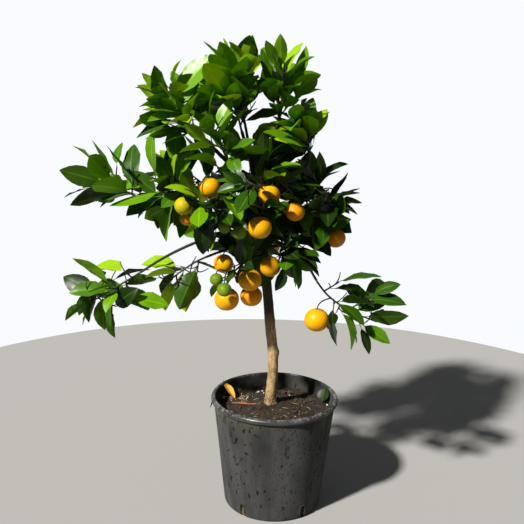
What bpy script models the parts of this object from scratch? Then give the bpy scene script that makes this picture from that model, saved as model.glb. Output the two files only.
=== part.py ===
"""A calamondin orange tree in its pot: one slender stem, a round leafy head and three long sprays.

Metres, +Z up. The origin is the centre of the pot's flat underside, the front is towards -Y.
The woody parts are tapering limbs. Each mass of foliage grows by one seeded rule from a stem that
carries on from a limb's tip, and it keeps to its own share of the head.
"""

import itertools
import math
import random

import bmesh
import bpy
import numpy as np
from mathutils import Matrix, Vector
from mathutils.bvhtree import BVHTree

# The gap between pieces that touch
GAP = 0.0003

# Pot: a turned shell with a rolled rim and drain slots at the foot of its wall
POT_RIM_RADIUS = 0.100
POT_HEIGHT = 0.178
POT_NECK_RADIUS = 0.0949
POT_FOOT_RADIUS = 0.0763
POT_WALL = 0.0018
POT_RIM_DEPTH = 0.0095
POT_FOOT_ROUND = 0.005
POT_SIDES = 36
SLOT_COUNT = 5
SLOT_WIDTH = 0.008
SLOT_HEIGHT = 0.022
SLOT_INTO_FLOOR = 0.012

# Compost: fills the pot to below the rim and rises a little to the stem
SOIL_EDGE_HEIGHT = 0.154
SOIL_CROWN_HEIGHT = 0.164
SOIL_FLAT_RADIUS = 0.014
SOIL_PLAY = 0.0002

# Trunk: route from the cut at soil level to its tip in the head, with the radius at each point
TRUNK_ROUTE = (
    ((-0.0060, 0.000, SOIL_CROWN_HEIGHT + GAP), 0.0102),
    ((-0.0060, 0.000, 0.176), 0.0086),
    ((-0.0035, 0.000, 0.212), 0.0080),
    ((-0.0045, 0.000, 0.252), 0.0079),
    ((-0.0100, 0.000, 0.296), 0.0077),
    ((-0.0150, 0.000, 0.348), 0.0074),
    ((-0.0220, 0.003, 0.410), 0.0066),
    ((-0.0320, 0.004, 0.480), 0.0050),
    ((-0.0480, 0.004, 0.572), 0.0030),
)
TRUNK_STEPS_PER_POINT = 2
TRUNK_BEVEL = 4

# Limbs: parent, share of the parent's length where it forks, tip, rise of the bend, radii
LIMB_STEPS = 5
LIMB_BEVEL = 1
LIMBS = {
    "limb_low_front": ("trunk", 0.570, (-0.040, -0.030, 0.404), 0.006, 0.0032, 0.0022),
    "limb_low_back": ("trunk", 0.590, (-0.030, 0.030, 0.420), 0.004, 0.0032, 0.0022),
    "limb_low_right": ("trunk", 0.605, (-0.002, -0.014, 0.420), 0.002, 0.0030, 0.0020),
    "limb_left_inner": ("trunk", 0.625, (-0.104, -0.050, 0.410), 0.008, 0.0026, 0.0018),
    "limb_back_left": ("trunk", 0.640, (-0.080, 0.034, 0.474), 0.002, 0.0036, 0.0024),
    "limb_right_low": ("trunk", 0.650, (0.057, -0.036, 0.374), 0.044, 0.0027, 0.0018),
    "limb_back_right": ("trunk", 0.665, (0.006, 0.034, 0.454), 0.004, 0.0036, 0.0024),
    "limb_left_low": ("trunk", 0.680, (-0.200, -0.056, 0.386), 0.030, 0.0028, 0.0018),
    "limb_right": ("trunk", 0.700, (0.026, 0.002, 0.466), 0.004, 0.0038, 0.0024),
    "limb_front_left": ("trunk", 0.720, (-0.078, -0.042, 0.480), 0.004, 0.0034, 0.0022),
    "limb_left": ("trunk", 0.745, (-0.108, 0.000, 0.496), 0.002, 0.0042, 0.0028),
    "limb_left_high": ("limb_left", 0.800, (-0.182, -0.030, 0.490), 0.000, 0.0028, 0.0020),
    "limb_right_up": ("trunk", 0.765, (0.034, -0.008, 0.536), -0.016, 0.0038, 0.0024),
    "limb_middle": ("trunk", 0.780, (-0.064, -0.026, 0.528), -0.002, 0.0032, 0.0022),
    "limb_back": ("trunk", 0.795, (-0.034, 0.040, 0.510), 0.002, 0.0040, 0.0026),
    "limb_front": ("trunk", 0.740, (-0.024, -0.036, 0.492), 0.000, 0.0034, 0.0022),
    "limb_top_left": ("trunk", 0.840, (-0.108, -0.006, 0.572), -0.004, 0.0038, 0.0026),
    "limb_top_right": ("trunk", 0.870, (-0.008, -0.004, 0.590), -0.006, 0.0034, 0.0024),
    "limb_back_top": ("trunk", 0.910, (-0.058, 0.030, 0.584), 0.000, 0.0030, 0.0024),
}

# Distance between the leaves along a twig, in the head and in the long sprays
FULL = 0.0098
OPEN = 0.0155

# Masses of foliage: limb that carries it, centre and radii of its space, side shoots, lift of its
# leaves, distance between leaves, seed
MASSES = {
    "mass_top": ("trunk", (-0.068, -0.008, 0.654), (0.066, 0.070, 0.066), 11, 1.2, FULL, 1),
    "mass_top_left": ("limb_top_left", (-0.152, -0.012, 0.614), (0.060, 0.070, 0.070), 11, 0.9, FULL, 3),
    "mass_top_right": ("limb_top_right", (-0.004, -0.012, 0.650), (0.058, 0.068, 0.068), 11, 1.2, FULL, 19),
    "mass_right_up": ("limb_right_up", (0.020, -0.016, 0.584), (0.050, 0.066, 0.076), 10, 1.1, FULL, 14),
    "mass_left": ("limb_left", (-0.150, -0.020, 0.502), (0.068, 0.070, 0.078), 12, 0.1, FULL, 9),
    "mass_left_high": ("limb_left_high", (-0.236, -0.034, 0.518), (0.080, 0.058, 0.070), 8, 0.0, OPEN, 20),
    "mass_front_left": ("limb_front_left", (-0.106, -0.080, 0.490), (0.064, 0.064, 0.072), 12, 0.1, FULL, 20),
    "mass_front": ("limb_front", (-0.028, -0.078, 0.514), (0.070, 0.066, 0.078), 12, 0.4, FULL, 1),
    "mass_middle": ("limb_middle", (-0.084, -0.052, 0.574), (0.060, 0.058, 0.052), 9, 0.6, FULL, 22),
    "mass_right": ("limb_right", (0.060, -0.006, 0.482), (0.062, 0.072, 0.078), 11, 0.2, FULL, 22),
    "mass_low_front": ("limb_low_front", (-0.062, -0.060, 0.392), (0.060, 0.060, 0.058), 9, -0.1, FULL, 6),
    "mass_low_right": ("limb_low_right", (0.008, -0.046, 0.416), (0.060, 0.060, 0.056), 11, -0.1, FULL, 13),
    "mass_low_back": ("limb_low_back", (-0.034, 0.062, 0.418), (0.085, 0.064, 0.056), 10, -0.1, FULL, 7),
    "mass_back": ("limb_back", (-0.034, 0.086, 0.540), (0.078, 0.066, 0.078), 11, 0.2, FULL, 2),
    "mass_back_left": ("limb_back_left", (-0.120, 0.066, 0.500), (0.080, 0.068, 0.080), 11, 0.1, FULL, 17),
    "mass_back_right": ("limb_back_right", (0.044, 0.072, 0.482), (0.068, 0.066, 0.078), 11, 0.1, FULL, 11),
    "mass_back_top": ("limb_back_top", (-0.064, 0.062, 0.630), (0.088, 0.064, 0.076), 9, 0.9, FULL, 1),
    "spray_left_low": ("limb_left_low", (-0.250, -0.054, 0.354), (0.082, 0.056, 0.066), 7, -0.1, OPEN, 12),
    "spray_left_inner": ("limb_left_inner", (-0.148, -0.056, 0.38), (0.058, 0.052, 0.056), 5, -0.2, OPEN, 15),
    "spray_right_low": ("limb_right_low", (0.122, -0.034, 0.330), (0.080, 0.056, 0.068), 6, 0.0, OPEN, 12),
}

# Fruit: the mass that it hangs in, its centre and its diameter
FRUIT = (
    ("mass_front", -0.028, -0.102, 0.465, 0.033),
    ("mass_front", -0.016, -0.080, 0.507, 0.031),
    ("mass_front", 0.021, -0.064, 0.481, 0.028),
    ("mass_front", -0.056, -0.096, 0.456, 0.020),
    ("mass_front_left", -0.098, -0.078, 0.515, 0.029),
    ("mass_front_left", -0.136, -0.062, 0.486, 0.027),
    ("mass_front_left", -0.077, -0.088, 0.462, 0.019),
    ("mass_left", -0.134, -0.026, 0.462, 0.024),
    ("mass_right", 0.084, -0.012, 0.434, 0.031),
    ("mass_low_front", -0.074, -0.060, 0.350, 0.036),
    ("mass_low_front", -0.041, -0.062, 0.380, 0.034),
    ("mass_low_front", -0.079, -0.064, 0.404, 0.029),
    ("mass_low_front", -0.039, -0.034, 0.348, 0.033),
    ("mass_low_front", -0.088, -0.082, 0.385, 0.019),
    ("mass_low_front", -0.076, -0.096, 0.374, 0.021),
    ("mass_low_right", -0.012, -0.052, 0.398, 0.031),
    ("spray_right_low", 0.059, -0.040, 0.315, 0.037),
    ("mass_low_back", -0.012, 0.090, 0.398, 0.034),
    ("mass_low_back", -0.062, 0.078, 0.404, 0.031),
    ("mass_back_right", 0.048, 0.104, 0.448, 0.033),
    ("mass_back_left", -0.124, 0.098, 0.452, 0.033),
    ("mass_back", -0.048, 0.130, 0.500, 0.022),
    ("mass_back_right", 0.086, 0.052, 0.478, 0.028),
)

# Sky that shows right through the head from the front: where each sight line from the eye crosses
# the trunk's own plane, as x and z, and the radius that it keeps open there
EYE = (-0.024, -1.176, 0.675)
WINDOWS = (
    (-0.0294, 0.6254, 0.0080),
    (-0.0532, 0.5851, 0.0140),
    (-0.0862, 0.5433, 0.0075),
    (-0.0474, 0.5340, 0.0080),
    (-0.1211, 0.5211, 0.0085),
    (0.0709, 0.5122, 0.0085),
)
WINDOW_FROM = 0.85
WINDOW_TO = 1.15

# The front fruit shows from the eye: how far before it the leaves keep clear, and its share that shows
SHOWN_FOR = 0.060
SHOWN_SHARE = 0.75

# Foliage: sizes that every mass shares
GOLDEN_ANGLE = math.radians(137.5)
LEAF_LENGTH = 0.065
LEAF_WIDTH = 0.50
LEAF_FIRST = 0.009
LEAF_THICKNESS = 0.0011
LEAF_WIDEST = 0.46
LEAF_SUNK = 0.0005
STEM_PAST_CENTRE = 0.42
STEM_TIP_RADIUS = 0.0018
STEM_STEPS = 4
STEM_COLLAR = 0.004
SHOOT_RADIUS = 0.0018
SHOOT_TIP_RADIUS = 0.0014
SHOOT_LONGEST = 0.060
SHOOT_SHORTEST = 0.016
SHOOT_STEPS = 1
STALK_RADIUS = 0.0013
STALK_STEPS = 2
EDGE_MARGIN = 0.0006
CLEARANCE = 0.0022
FRUIT_CLEARANCE = 0.0010
TWIG_CLEARANCE = 0.0006
STALK_INTO_FRUIT = 0.08
SHOOT_TURNS = (0.0, 0.8, -0.8, 1.6, -1.6)
LEAF_TURNS = (0.0, 0.9, -0.9, 1.8, -1.8, 2.7, -2.7)
LEAF_PARTS = (1.0, 0.88, 0.77, 0.67)


def unit(vector):
    """The vector at length 1."""
    return vector / np.linalg.norm(vector)


def square_to(vector, axis):
    """The part of a vector that is square to a unit axis, at length 1."""
    return unit(vector - axis * float(vector @ axis))


def turned(vector, axis, angle):
    """The vector turned about a unit axis."""
    c, s = math.cos(angle), math.sin(angle)
    return vector * c + np.cross(axis, vector) * s + axis * float(vector @ axis) * (1 - c)


def arc(start, bend, end, steps):
    """Points along the curve that leaves start towards bend and comes to end from it."""
    t = np.linspace(0.0, 1.0, steps + 1)[:, None]
    return (1 - t) ** 2 * start + 2 * t * (1 - t) * bend + t * t * end


def smooth_route(points, steps):
    """Points of the smooth curve through a few chosen ones, radii included."""
    ends = [2 * points[0] - points[1], *points, 2 * points[-1] - points[-2]]
    route = [points[0]]
    for a, b, c, d in zip(ends, ends[1:], ends[2:], ends[3:]):
        for t in np.linspace(0.0, 1.0, steps + 1)[1:]:
            bent = (2 * a - 5 * b + 4 * c - d) * t**2 + (3 * b - a - 3 * c + d) * t**3
            route.append(0.5 * (2 * b + (c - a) * t + bent))
    return np.array(route)


def along(points, share):
    """The point at a share of a route's length, and the route's direction there."""
    steps = np.linalg.norm(np.diff(points, axis=0), axis=1)
    reach = np.concatenate([[0.0], np.cumsum(steps)])
    where = share * reach[-1]
    i = int(np.clip(np.searchsorted(reach, where, side="right") - 1, 0, len(steps) - 1))
    heading = unit(points[i + 1] - points[i])
    return points[i] + heading * (where - reach[i]), heading


def limb_routes():
    """Route and radii of the trunk and of each limb, by name."""
    points = [np.array([*point, radius]) for point, radius in TRUNK_ROUTE]
    rows = smooth_route(points, TRUNK_STEPS_PER_POINT)
    routes = {"trunk": (rows[:, :3], rows[:, 3])}
    for name, (parent, share, tip, rise, base_radius, tip_radius) in LIMBS.items():
        start, _ = along(routes[parent][0], share)
        tip = np.array(tip)
        bend = (start + tip) / 2 + np.array([0.0, 0.0, rise])
        radii = np.linspace(base_radius, tip_radius, LIMB_STEPS + 1)
        routes[name] = (arc(start, bend, tip, LIMB_STEPS), radii)
    return routes


class Obstacles:
    """Tapering rods that leaves and twigs keep clear of. A fruit is a rod of no length."""

    def __init__(self):
        self.rods = []
        self.owners = []
        self.table = None

    def add(self, owner, points, radii, clearance):
        """Adds a limb or twig, rod by rod."""
        for a, b, ra, rb in zip(points, points[1:], radii, radii[1:]):
            self.rods.append((*a, *b, ra + clearance, rb + clearance))
            self.owners.append(owner)
        self.table = None

    def clear(self, points, spare):
        """Whether all the points keep clear of every rod that isn't the spared owner's."""
        if self.table is None:
            self.table = np.array(self.rods), np.array(self.owners)
        rods, owners = self.table
        middle = (rods[:, :3] + rods[:, 3:6]) / 2
        reach = np.linalg.norm(rods[:, 3:6] - rods[:, :3], axis=1) / 2 + rods[:, 6:].max(axis=1)
        centre = points.mean(axis=0)
        size = np.linalg.norm(points - centre, axis=1).max()
        near = (np.linalg.norm(middle - centre, axis=1) < reach + size) & (owners != spare)
        if not near.any():
            return True
        a, b, ra, rb = rods[near, :3], rods[near, 3:6], rods[near, 6], rods[near, 7]
        run = b - a
        square = np.maximum((run * run).sum(axis=1), 1e-12)
        t = np.clip(((points[:, None] - a) * run).sum(axis=2) / square, 0.0, 1.0)
        gap = np.linalg.norm(points[:, None] - a - t[..., None] * run, axis=2) - ra - t * (rb - ra)
        return bool(gap.min() > 0)


ROUTES = limb_routes()
MASS_NAMES = list(MASSES)
CENTRES = np.array([row[1] for row in MASSES.values()])
RADII = np.array([row[2] for row in MASSES.values()])


def in_own_space(points, k):
    """Whether all the points lie in the share of the head that belongs to mass k."""
    offset = (points[None] - CENTRES[:, None]) / RADII[:, None]
    share = np.linalg.norm(offset, axis=2)
    slope = np.linalg.norm(offset / RADII[:, None], axis=2) / np.maximum(share, 1e-6)
    spare = share - share[k] - EDGE_MARGIN * (slope + slope[k])
    spare[k] = 1.0 - share[k]
    return bool((spare > 0).all())


def room_ahead(point, heading, k):
    """How far the edge of a mass's space is from a point, along a heading."""
    a, b = heading / RADII[k], (point - CENTRES[k]) / RADII[k]
    aa, ab, bb = float(a @ a), float(a @ b), float(b @ b)
    return (-ab + math.sqrt(max(ab * ab - aa * (bb - 1), 0.0))) / aa


def stem_of(k):
    """The main twig of a mass: it carries on from its limb's tip through the middle of the space."""
    route, radii = ROUTES[MASSES[MASS_NAMES[k]][0]]
    heading = unit(route[-1] - route[-2])
    start = route[-1] + heading * GAP
    end = CENTRES[k] + STEM_PAST_CENTRE * (CENTRES[k] - start)
    collar = start + heading * STEM_COLLAR
    bend = start + heading * 0.4 * np.linalg.norm(end - start)
    return np.vstack([start, arc(collar, bend, end, STEM_STEPS)]), radii[-1]


def shoot_from(k, point, heading, side, rng):
    """A side shoot: the first of a few turns of it that keeps to its space and clear of limbs."""
    lift = MASSES[MASS_NAMES[k]][4]
    size = rng.uniform(0.85, 1.0)
    for turn in SHOOT_TURNS:
        way = turned(side, heading, turn)
        outward = way + 0.5 * heading + np.array([0.0, 0.0, lift]) + 0.5 * (point - CENTRES[k]) / RADII[k]
        outward = unit(outward)
        room = room_ahead(point, outward, k) - 0.6 * LEAF_LENGTH
        for part in (1.0, 0.75, 0.5):
            length = size * part * min(max(room, SHOOT_SHORTEST), SHOOT_LONGEST)
            bend = point + unit(way + 0.8 * heading) * 0.5 * length
            points = arc(point, bend, point + outward * length, SHOOT_STEPS)
            tested = np.array([along(points, share)[0] for share in np.linspace(0.2, 1.0, 9)])
            if in_own_space(tested, k) and SOLIDS.clear(tested, k):
                return points
    return None


def shoots_of(k, stem):
    """The side shoots of a mass, each a short curve that leaves the stem in its own direction."""
    _, _, _, count, _, _, seed = MASSES[MASS_NAMES[k]]
    shoots = []
    for i in range(count):
        rng = random.Random(seed * 1009 + i)
        point, heading = along(stem, 0.08 + 0.84 * (i + rng.uniform(0.2, 0.8)) / count)
        side = turned(square_to(np.array([0.31, 0.22, 0.92]), heading), heading, i * GOLDEN_ANGLE + seed)
        points = shoot_from(k, point, heading, side, rng)
        if points is not None:
            shoots.append(points)
    return shoots


def stalk_of(fruit, twigs):
    """A thin twig that leaves the nearest higher twig of its mass and ends in the fruit's top."""
    _, x, y, z, diameter = fruit
    top = np.array([x, y, z + (0.5 - STALK_INTO_FRUIT) * diameter])
    places = [along(points, share)[0] for points in twigs for share in np.linspace(0.05, 0.95, 12)]
    cost = [np.linalg.norm(place - top) + 1.5 * max(top[2] + 0.006 - place[2], 0.0) for place in places]
    place = places[int(np.argmin(cost))]
    rise = 0.006 + 0.30 * np.linalg.norm(place - top)
    return arc(place, top + np.array([0.0, 0.0, rise]), top, STALK_STEPS)


def blade(root, pointing, face, length, width):
    """Corners of a leaf: its root inside the twig, its widest section, keeled below, and its tip."""
    across = np.cross(face, pointing)
    widest = root + pointing * LEAF_WIDEST * length + face * 0.03 * length
    keel = widest - face * (LEAF_THICKNESS + 0.02 * length)
    sides = [widest + across * width / 2, widest - across * width / 2, keel]
    return [[root - pointing * LEAF_SUNK], sides, [root + pointing * length - face * 0.03 * length]]


def blade_points(rings):
    """Points spread over a leaf, close enough together to find anything that it would touch."""
    (root,), (side_a, side_b, keel), (tip,) = rings
    across = [side_a + (side_b - side_a) * u for u in np.linspace(0.0, 1.0, 5)]
    grid = [root + (point - root) * t for t in np.linspace(0.2, 1.0, 5) for point in across]
    grid += [point + (tip - point) * t for t in np.linspace(0.2, 1.0, 5) for point in across[::2]]
    return np.array([*grid, keel])


def loft_faces(rings):
    """Corners and faces of a closed shape through sections of three corners, or of one at an end."""
    corners = [point for ring in rings for point in ring]
    faces, low = [], 0
    for ring, following in zip(rings, rings[1:]):
        high = low + len(ring)
        for i, j in ((0, 1), (1, 2), (2, 0)):
            near = [low + i, low + j] if len(ring) == 3 else [low]
            far = [high + j, high + i] if len(following) == 3 else [high]
            faces.append(near + far)
        low = high
    last = len(corners) - 3
    faces += [(2, 1, 0)] * (len(rings[0]) == 3) + [(last, last + 1, last + 2)] * (len(rings[-1]) == 3)
    return corners, faces


def tree_of(rings):
    """A search tree of a lofted shape, to find what crosses it."""
    corners, faces = loft_faces(rings)
    return BVHTree.FromPolygons([Vector(point) for point in corners], faces)


def leaves_along(k, points, seed, first, owner, grown):
    """Leaves set alternately round a twig, and one at its tip, that keep to the mass's space."""
    lift, spacing = MASSES[MASS_NAMES[k]][4:6]
    up = np.array([0.0, 0.0, 1.0])
    reach = float(np.linalg.norm(np.diff(points, axis=0), axis=1).sum())
    count = max(int((reach - first) / spacing), 0)
    leaves = []
    for j in range(count, -1, -1):
        rng = random.Random(seed * 7919 + j)
        at_tip = j == count
        share = 1.0 if at_tip else min((first + j * spacing) / reach, 1.0)
        root, axis = along(points, share)
        full = LEAF_LENGTH * rng.uniform(0.84, 1.16)
        pitch = 0.15 if at_tip else math.radians(rng.uniform(38, 62)) * (1.15 - 0.35 * share)
        wobble = np.array([rng.uniform(-1, 1) for _ in range(3)])
        start = square_to(np.array([0.6, 0.5, 0.62]), axis)
        for part, turn in itertools.product(LEAF_PARTS, LEAF_TURNS):
            side = turned(start, axis, j * GOLDEN_ANGLE + seed + turn)
            pointing = unit(math.cos(pitch) * axis + math.sin(pitch) * side + 0.25 * lift * up)
            face = square_to(0.55 * axis + 0.75 * up - 0.2 * side + 0.45 * wobble, pointing)
            length = full * part
            rings = blade(root, pointing, face, length, length * LEAF_WIDTH)
            grid = blade_points(rings)
            if not in_own_space(grid, k) or not SOLIDS.clear(grid, -1) or not WOOD.clear(grid, owner):
                continue
            shape = tree_of(rings)
            if any(shape.overlap(other) for other in grown):
                continue
            grown.append(shape)
            leaves.append(rings)
            break
    return leaves


def solids():
    """What every twig and leaf keeps clear of: trunk, limbs, fruit and the open sight lines."""
    rods = Obstacles()
    eye = np.array(EYE)
    for route, radii in ROUTES.values():
        rods.add(-2, route, radii, CLEARANCE)
    for name, x, y, z, diameter in FRUIT:
        centre, radius = np.array([x, y, z]), diameter / 2
        rods.add(-3, (centre, centre), (radius, radius), FRUIT_CLEARANCE)
        if y < 0.0:
            before = centre + unit(eye - centre) * SHOWN_FOR
            rods.add(-4, (centre, before), (SHOWN_SHARE * radius, SHOWN_SHARE * radius), 0.0)
    for x, z, radius in WINDOWS:
        sight = np.array([x, 0.0, z]) - eye
        ends = (eye + WINDOW_FROM * sight, eye + WINDOW_TO * sight)
        rods.add(-4, ends, (WINDOW_FROM * radius, WINDOW_TO * radius), 0.0)
    return rods


SOLIDS = solids()
WOOD = Obstacles()


def twigs_of(k):
    """The woody twigs of mass k as (points, radius, tip radius): stem, shoots and fruit stalks."""
    stem, radius = stem_of(k)
    shoots = shoots_of(k, stem)
    stalks = [stalk_of(one, [stem, *shoots]) for one in FRUIT if one[0] == MASS_NAMES[k]]
    twigs = [(stem, radius, STEM_TIP_RADIUS)]
    twigs += [(points, SHOOT_RADIUS, SHOOT_TIP_RADIUS) for points in shoots]
    twigs += [(points, STALK_RADIUS, STALK_RADIUS) for points in stalks]
    return twigs, len(shoots)


def grow_all():
    """Twigs and leaves of every mass, in order. All the wood grows before the first leaf."""
    grown = [twigs_of(k) for k in range(len(MASS_NAMES))]
    for k, (twigs, _) in enumerate(grown):
        for i, (points, radius, tip_radius) in enumerate(twigs):
            radii = np.linspace(radius, tip_radius, len(points))
            WOOD.add(k * 100 + i, points, radii, TWIG_CLEARANCE)
    masses = []
    for k, (twigs, shoot_count) in enumerate(grown):
        seed = MASSES[MASS_NAMES[k]][6]
        shapes = []
        leaves = []
        for i in range(shoot_count, -1, -1):
            points = twigs[i][0]
            first = LEAF_FIRST if i else 0.4 * float(np.linalg.norm(points[-1] - points[0]))
            leaves += leaves_along(k, points, seed * 31 + i, first, k * 100 + i, shapes)
        masses.append((twigs, leaves))
    return masses


def new_material(name, colour, roughness):
    """A Principled material of one colour."""
    material = bpy.data.materials.new(name)
    material.use_nodes = True
    shader = material.node_tree.nodes["Principled BSDF"]
    shader.inputs["Base Color"].default_value = (*colour, 1.0)
    shader.inputs["Roughness"].default_value = roughness
    material.diffuse_color = (*colour, 1.0)
    return material


def new_object(name, mesh, material, collection):
    """An object in a collection, with its material."""
    obj = bpy.data.objects.new(name, mesh)
    if material:
        mesh.materials.append(material)
    collection.objects.link(obj)
    return obj


def apply_modifiers(obj):
    """Replaces an object's mesh by what its modifiers make of it."""
    graph = bpy.context.evaluated_depsgraph_get()
    made = bpy.data.meshes.new_from_object(obj.evaluated_get(graph))
    obj.modifiers.clear()
    obj.data = made


def turned_solid(name, profile, sides, material, collection):
    """A solid of revolution about Z. The profile runs from the axis, up, out and down its outer side."""
    mesh = bpy.data.meshes.new(name)
    points = [(r, 0.0, z) for r, z in profile]
    mesh.from_pydata(points, [(i, i + 1) for i in range(len(points) - 1)], [])
    obj = new_object(name, mesh, material, collection)
    screw = obj.modifiers.new("Turn", "SCREW")
    screw.axis = "Z"
    screw.angle = math.tau
    screw.steps = screw.render_steps = sides
    screw.use_merge_vertices = True
    screw.merge_threshold = 0.0001
    screw.use_smooth_shade = True
    return obj


def cut(obj, cutter):
    """Adds a Boolean difference, with the cutter hidden."""
    cutter.hide_render = True
    cutter.display_type = "WIRE"
    boolean = obj.modifiers.new("Cut", "BOOLEAN")
    boolean.operation = "DIFFERENCE"
    boolean.solver = "EXACT"
    boolean.object = cutter


def wall_radius(z, inset=0.0):
    """Outer radius of the pot's tapered wall at a height, less an inset."""
    neck = POT_HEIGHT - POT_RIM_DEPTH
    return POT_FOOT_RADIUS + (POT_NECK_RADIUS - POT_FOOT_RADIUS) * min(z / neck, 1.0) - inset


def make_pot(collection, cutters, material):
    """The pot: floor, tapered wall and rolled rim, with drain slots through the foot of the wall."""
    neck = POT_HEIGHT - POT_RIM_DEPTH
    foot_in = wall_radius(POT_WALL, POT_WALL)
    middle, half = POT_HEIGHT - POT_RIM_DEPTH / 2, POT_RIM_DEPTH / 2
    bead = POT_RIM_RADIUS - half
    profile = [(0.0, POT_WALL), (foot_in, POT_WALL), (wall_radius(neck, POT_WALL), neck)]
    profile.append((wall_radius(neck, POT_WALL), POT_HEIGHT - 0.002))
    profile.append((wall_radius(neck, POT_WALL) + 0.0012, POT_HEIGHT))
    for angle in (75, 45, 15, -20, -55):
        a = math.radians(angle)
        profile.append((bead + half * math.cos(a), middle + half * math.sin(a)))
    profile.append((POT_NECK_RADIUS + 0.0006, neck + 0.0008))
    profile.append((POT_NECK_RADIUS, neck - 0.001))
    for angle in (0, 45, 90):
        a = math.radians(angle)
        profile.append(
            (
                POT_FOOT_RADIUS - POT_FOOT_ROUND * (1 - math.cos(a)),
                POT_FOOT_ROUND * (1 - math.sin(a)),
            )
        )
    profile.append((0.0, 0.0))
    pot = turned_solid("pot", profile, POT_SIDES, material, collection)
    for i in range(SLOT_COUNT):
        angle = math.tau * (i + 0.5) / SLOT_COUNT - math.pi / 2
        bpy.ops.mesh.primitive_cube_add(size=1)
        slot = bpy.context.object
        slot.name = f"slot_cutter_{i}"
        depth = SLOT_INTO_FLOOR + 0.01
        slot.data.transform(
            placed(
                (POT_FOOT_RADIUS - SLOT_INTO_FLOOR + depth / 2, 0, SLOT_HEIGHT / 2 - 0.005),
                (depth, SLOT_WIDTH, SLOT_HEIGHT + 0.01),
                angle,
            )
        )
        for holder in slot.users_collection:
            holder.objects.unlink(slot)
        cutters.objects.link(slot)
        cut(pot, slot)
    return pot


def placed(centre, scale, angle):
    """A matrix that scales, moves and then turns a shape about Z."""
    turn = Matrix.Rotation(angle, 4, "Z")
    return turn @ Matrix.Translation(centre) @ Matrix.Diagonal((*scale, 1.0))


def make_soil(collection, material):
    """The compost: it fills the pot and has a flat top where the trunk stands."""
    low = POT_WALL + GAP
    inset = POT_WALL + GAP + SOIL_PLAY
    edge = wall_radius(SOIL_EDGE_HEIGHT, inset)
    profile = [(0.0, SOIL_CROWN_HEIGHT), (SOIL_FLAT_RADIUS, SOIL_CROWN_HEIGHT)]
    for share in (0.3, 0.6, 0.85):
        drop = (SOIL_CROWN_HEIGHT - SOIL_EDGE_HEIGHT) * math.sin(share * math.pi / 2)
        profile.append((SOIL_FLAT_RADIUS + (edge - SOIL_FLAT_RADIUS) * share, SOIL_CROWN_HEIGHT - drop))
    profile += [(edge, SOIL_EDGE_HEIGHT), (wall_radius(low, inset), low), (0.0, low)]
    return turned_solid("soil", profile, POT_SIDES, material, collection)


def limb_mesh(name, route, radii, bevel, extra=0.0):
    """The mesh of a tapering limb: a poly curve with a round bevel and filled caps, welded."""
    curve = bpy.data.curves.new(name, "CURVE")
    curve.dimensions = "3D"
    curve.bevel_depth = 1.0
    curve.bevel_resolution = bevel
    curve.use_fill_caps = True
    spline = curve.splines.new("POLY")
    spline.points.add(len(route) - 1)
    for point, place, radius in zip(spline.points, route, radii):
        point.co = (*place, 1.0)
        point.radius = radius + extra
    tube = bpy.data.objects.new(name, curve)
    bpy.context.scene.collection.objects.link(tube)
    graph = bpy.context.evaluated_depsgraph_get()
    mesh = bpy.data.meshes.new_from_object(tube.evaluated_get(graph))
    bpy.data.objects.remove(tube)
    bm = bmesh.new()
    bm.from_mesh(mesh)
    bmesh.ops.remove_doubles(bm, verts=bm.verts, dist=0.00001)
    bmesh.ops.recalc_face_normals(bm, faces=bm.faces)
    bm.to_mesh(mesh)
    bm.free()
    mesh.shade_smooth()
    mesh.set_sharp_from_angle(angle=math.radians(50))
    return mesh


def make_limbs(collection, cutters, material):
    """The trunk, and each limb cut clear of the piece that it forks from."""
    for name, (route, radii) in ROUTES.items():
        bevel = TRUNK_BEVEL if name == "trunk" else LIMB_BEVEL
        limb = new_object(name, limb_mesh(name, route, radii, bevel), material, collection)
        if name == "trunk":
            continue
        parent = LIMBS[name][0]
        cutter_name = f"clear_of_{parent}"
        cutter = bpy.data.objects.get(cutter_name)
        if cutter is None:
            bevel = TRUNK_BEVEL if parent == "trunk" else LIMB_BEVEL
            mesh = limb_mesh(cutter_name, *ROUTES[parent], bevel, GAP)
            cutter = new_object(cutter_name, mesh, None, cutters)
        cut(limb, cutter)


def loft(name, rings):
    """A mesh of a lofted shape, with its faces looking outward."""
    corners, faces = loft_faces(rings)
    mesh = bpy.data.meshes.new(name)
    mesh.from_pydata(corners, [], faces)
    bm = bmesh.new()
    bm.from_mesh(mesh)
    bmesh.ops.recalc_face_normals(bm, faces=bm.faces)
    bm.to_mesh(mesh)
    bm.free()
    return mesh


def twig_rings(points, radius, tip_radius):
    """Sections of a three-sided tapering twig."""
    rings = []
    side = square_to(np.array([0.37, 0.61, 0.70]), unit(points[1] - points[0]))
    for i, point in enumerate(points):
        axis = unit(points[min(i + 1, len(points) - 1)] - points[max(i - 1, 0)])
        side = square_to(side, axis)
        r = radius + (tip_radius - radius) * i / (len(points) - 1)
        rings.append([point + turned(side, axis, math.tau * j / 3) * r for j in range(3)])
    return rings


def fruit_mesh(name, fruit):
    """One fruit: a sphere, a little flattened at its poles."""
    _, x, y, z, diameter = fruit
    bm = bmesh.new()
    bmesh.ops.create_uvsphere(bm, u_segments=7, v_segments=5, radius=diameter / 2)
    bmesh.ops.scale(bm, vec=(1.0, 1.0, 0.94), verts=bm.verts)
    bmesh.ops.translate(bm, vec=(x, y, z), verts=bm.verts)
    mesh = bpy.data.meshes.new(name)
    bm.to_mesh(mesh)
    bm.free()
    return mesh


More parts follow.
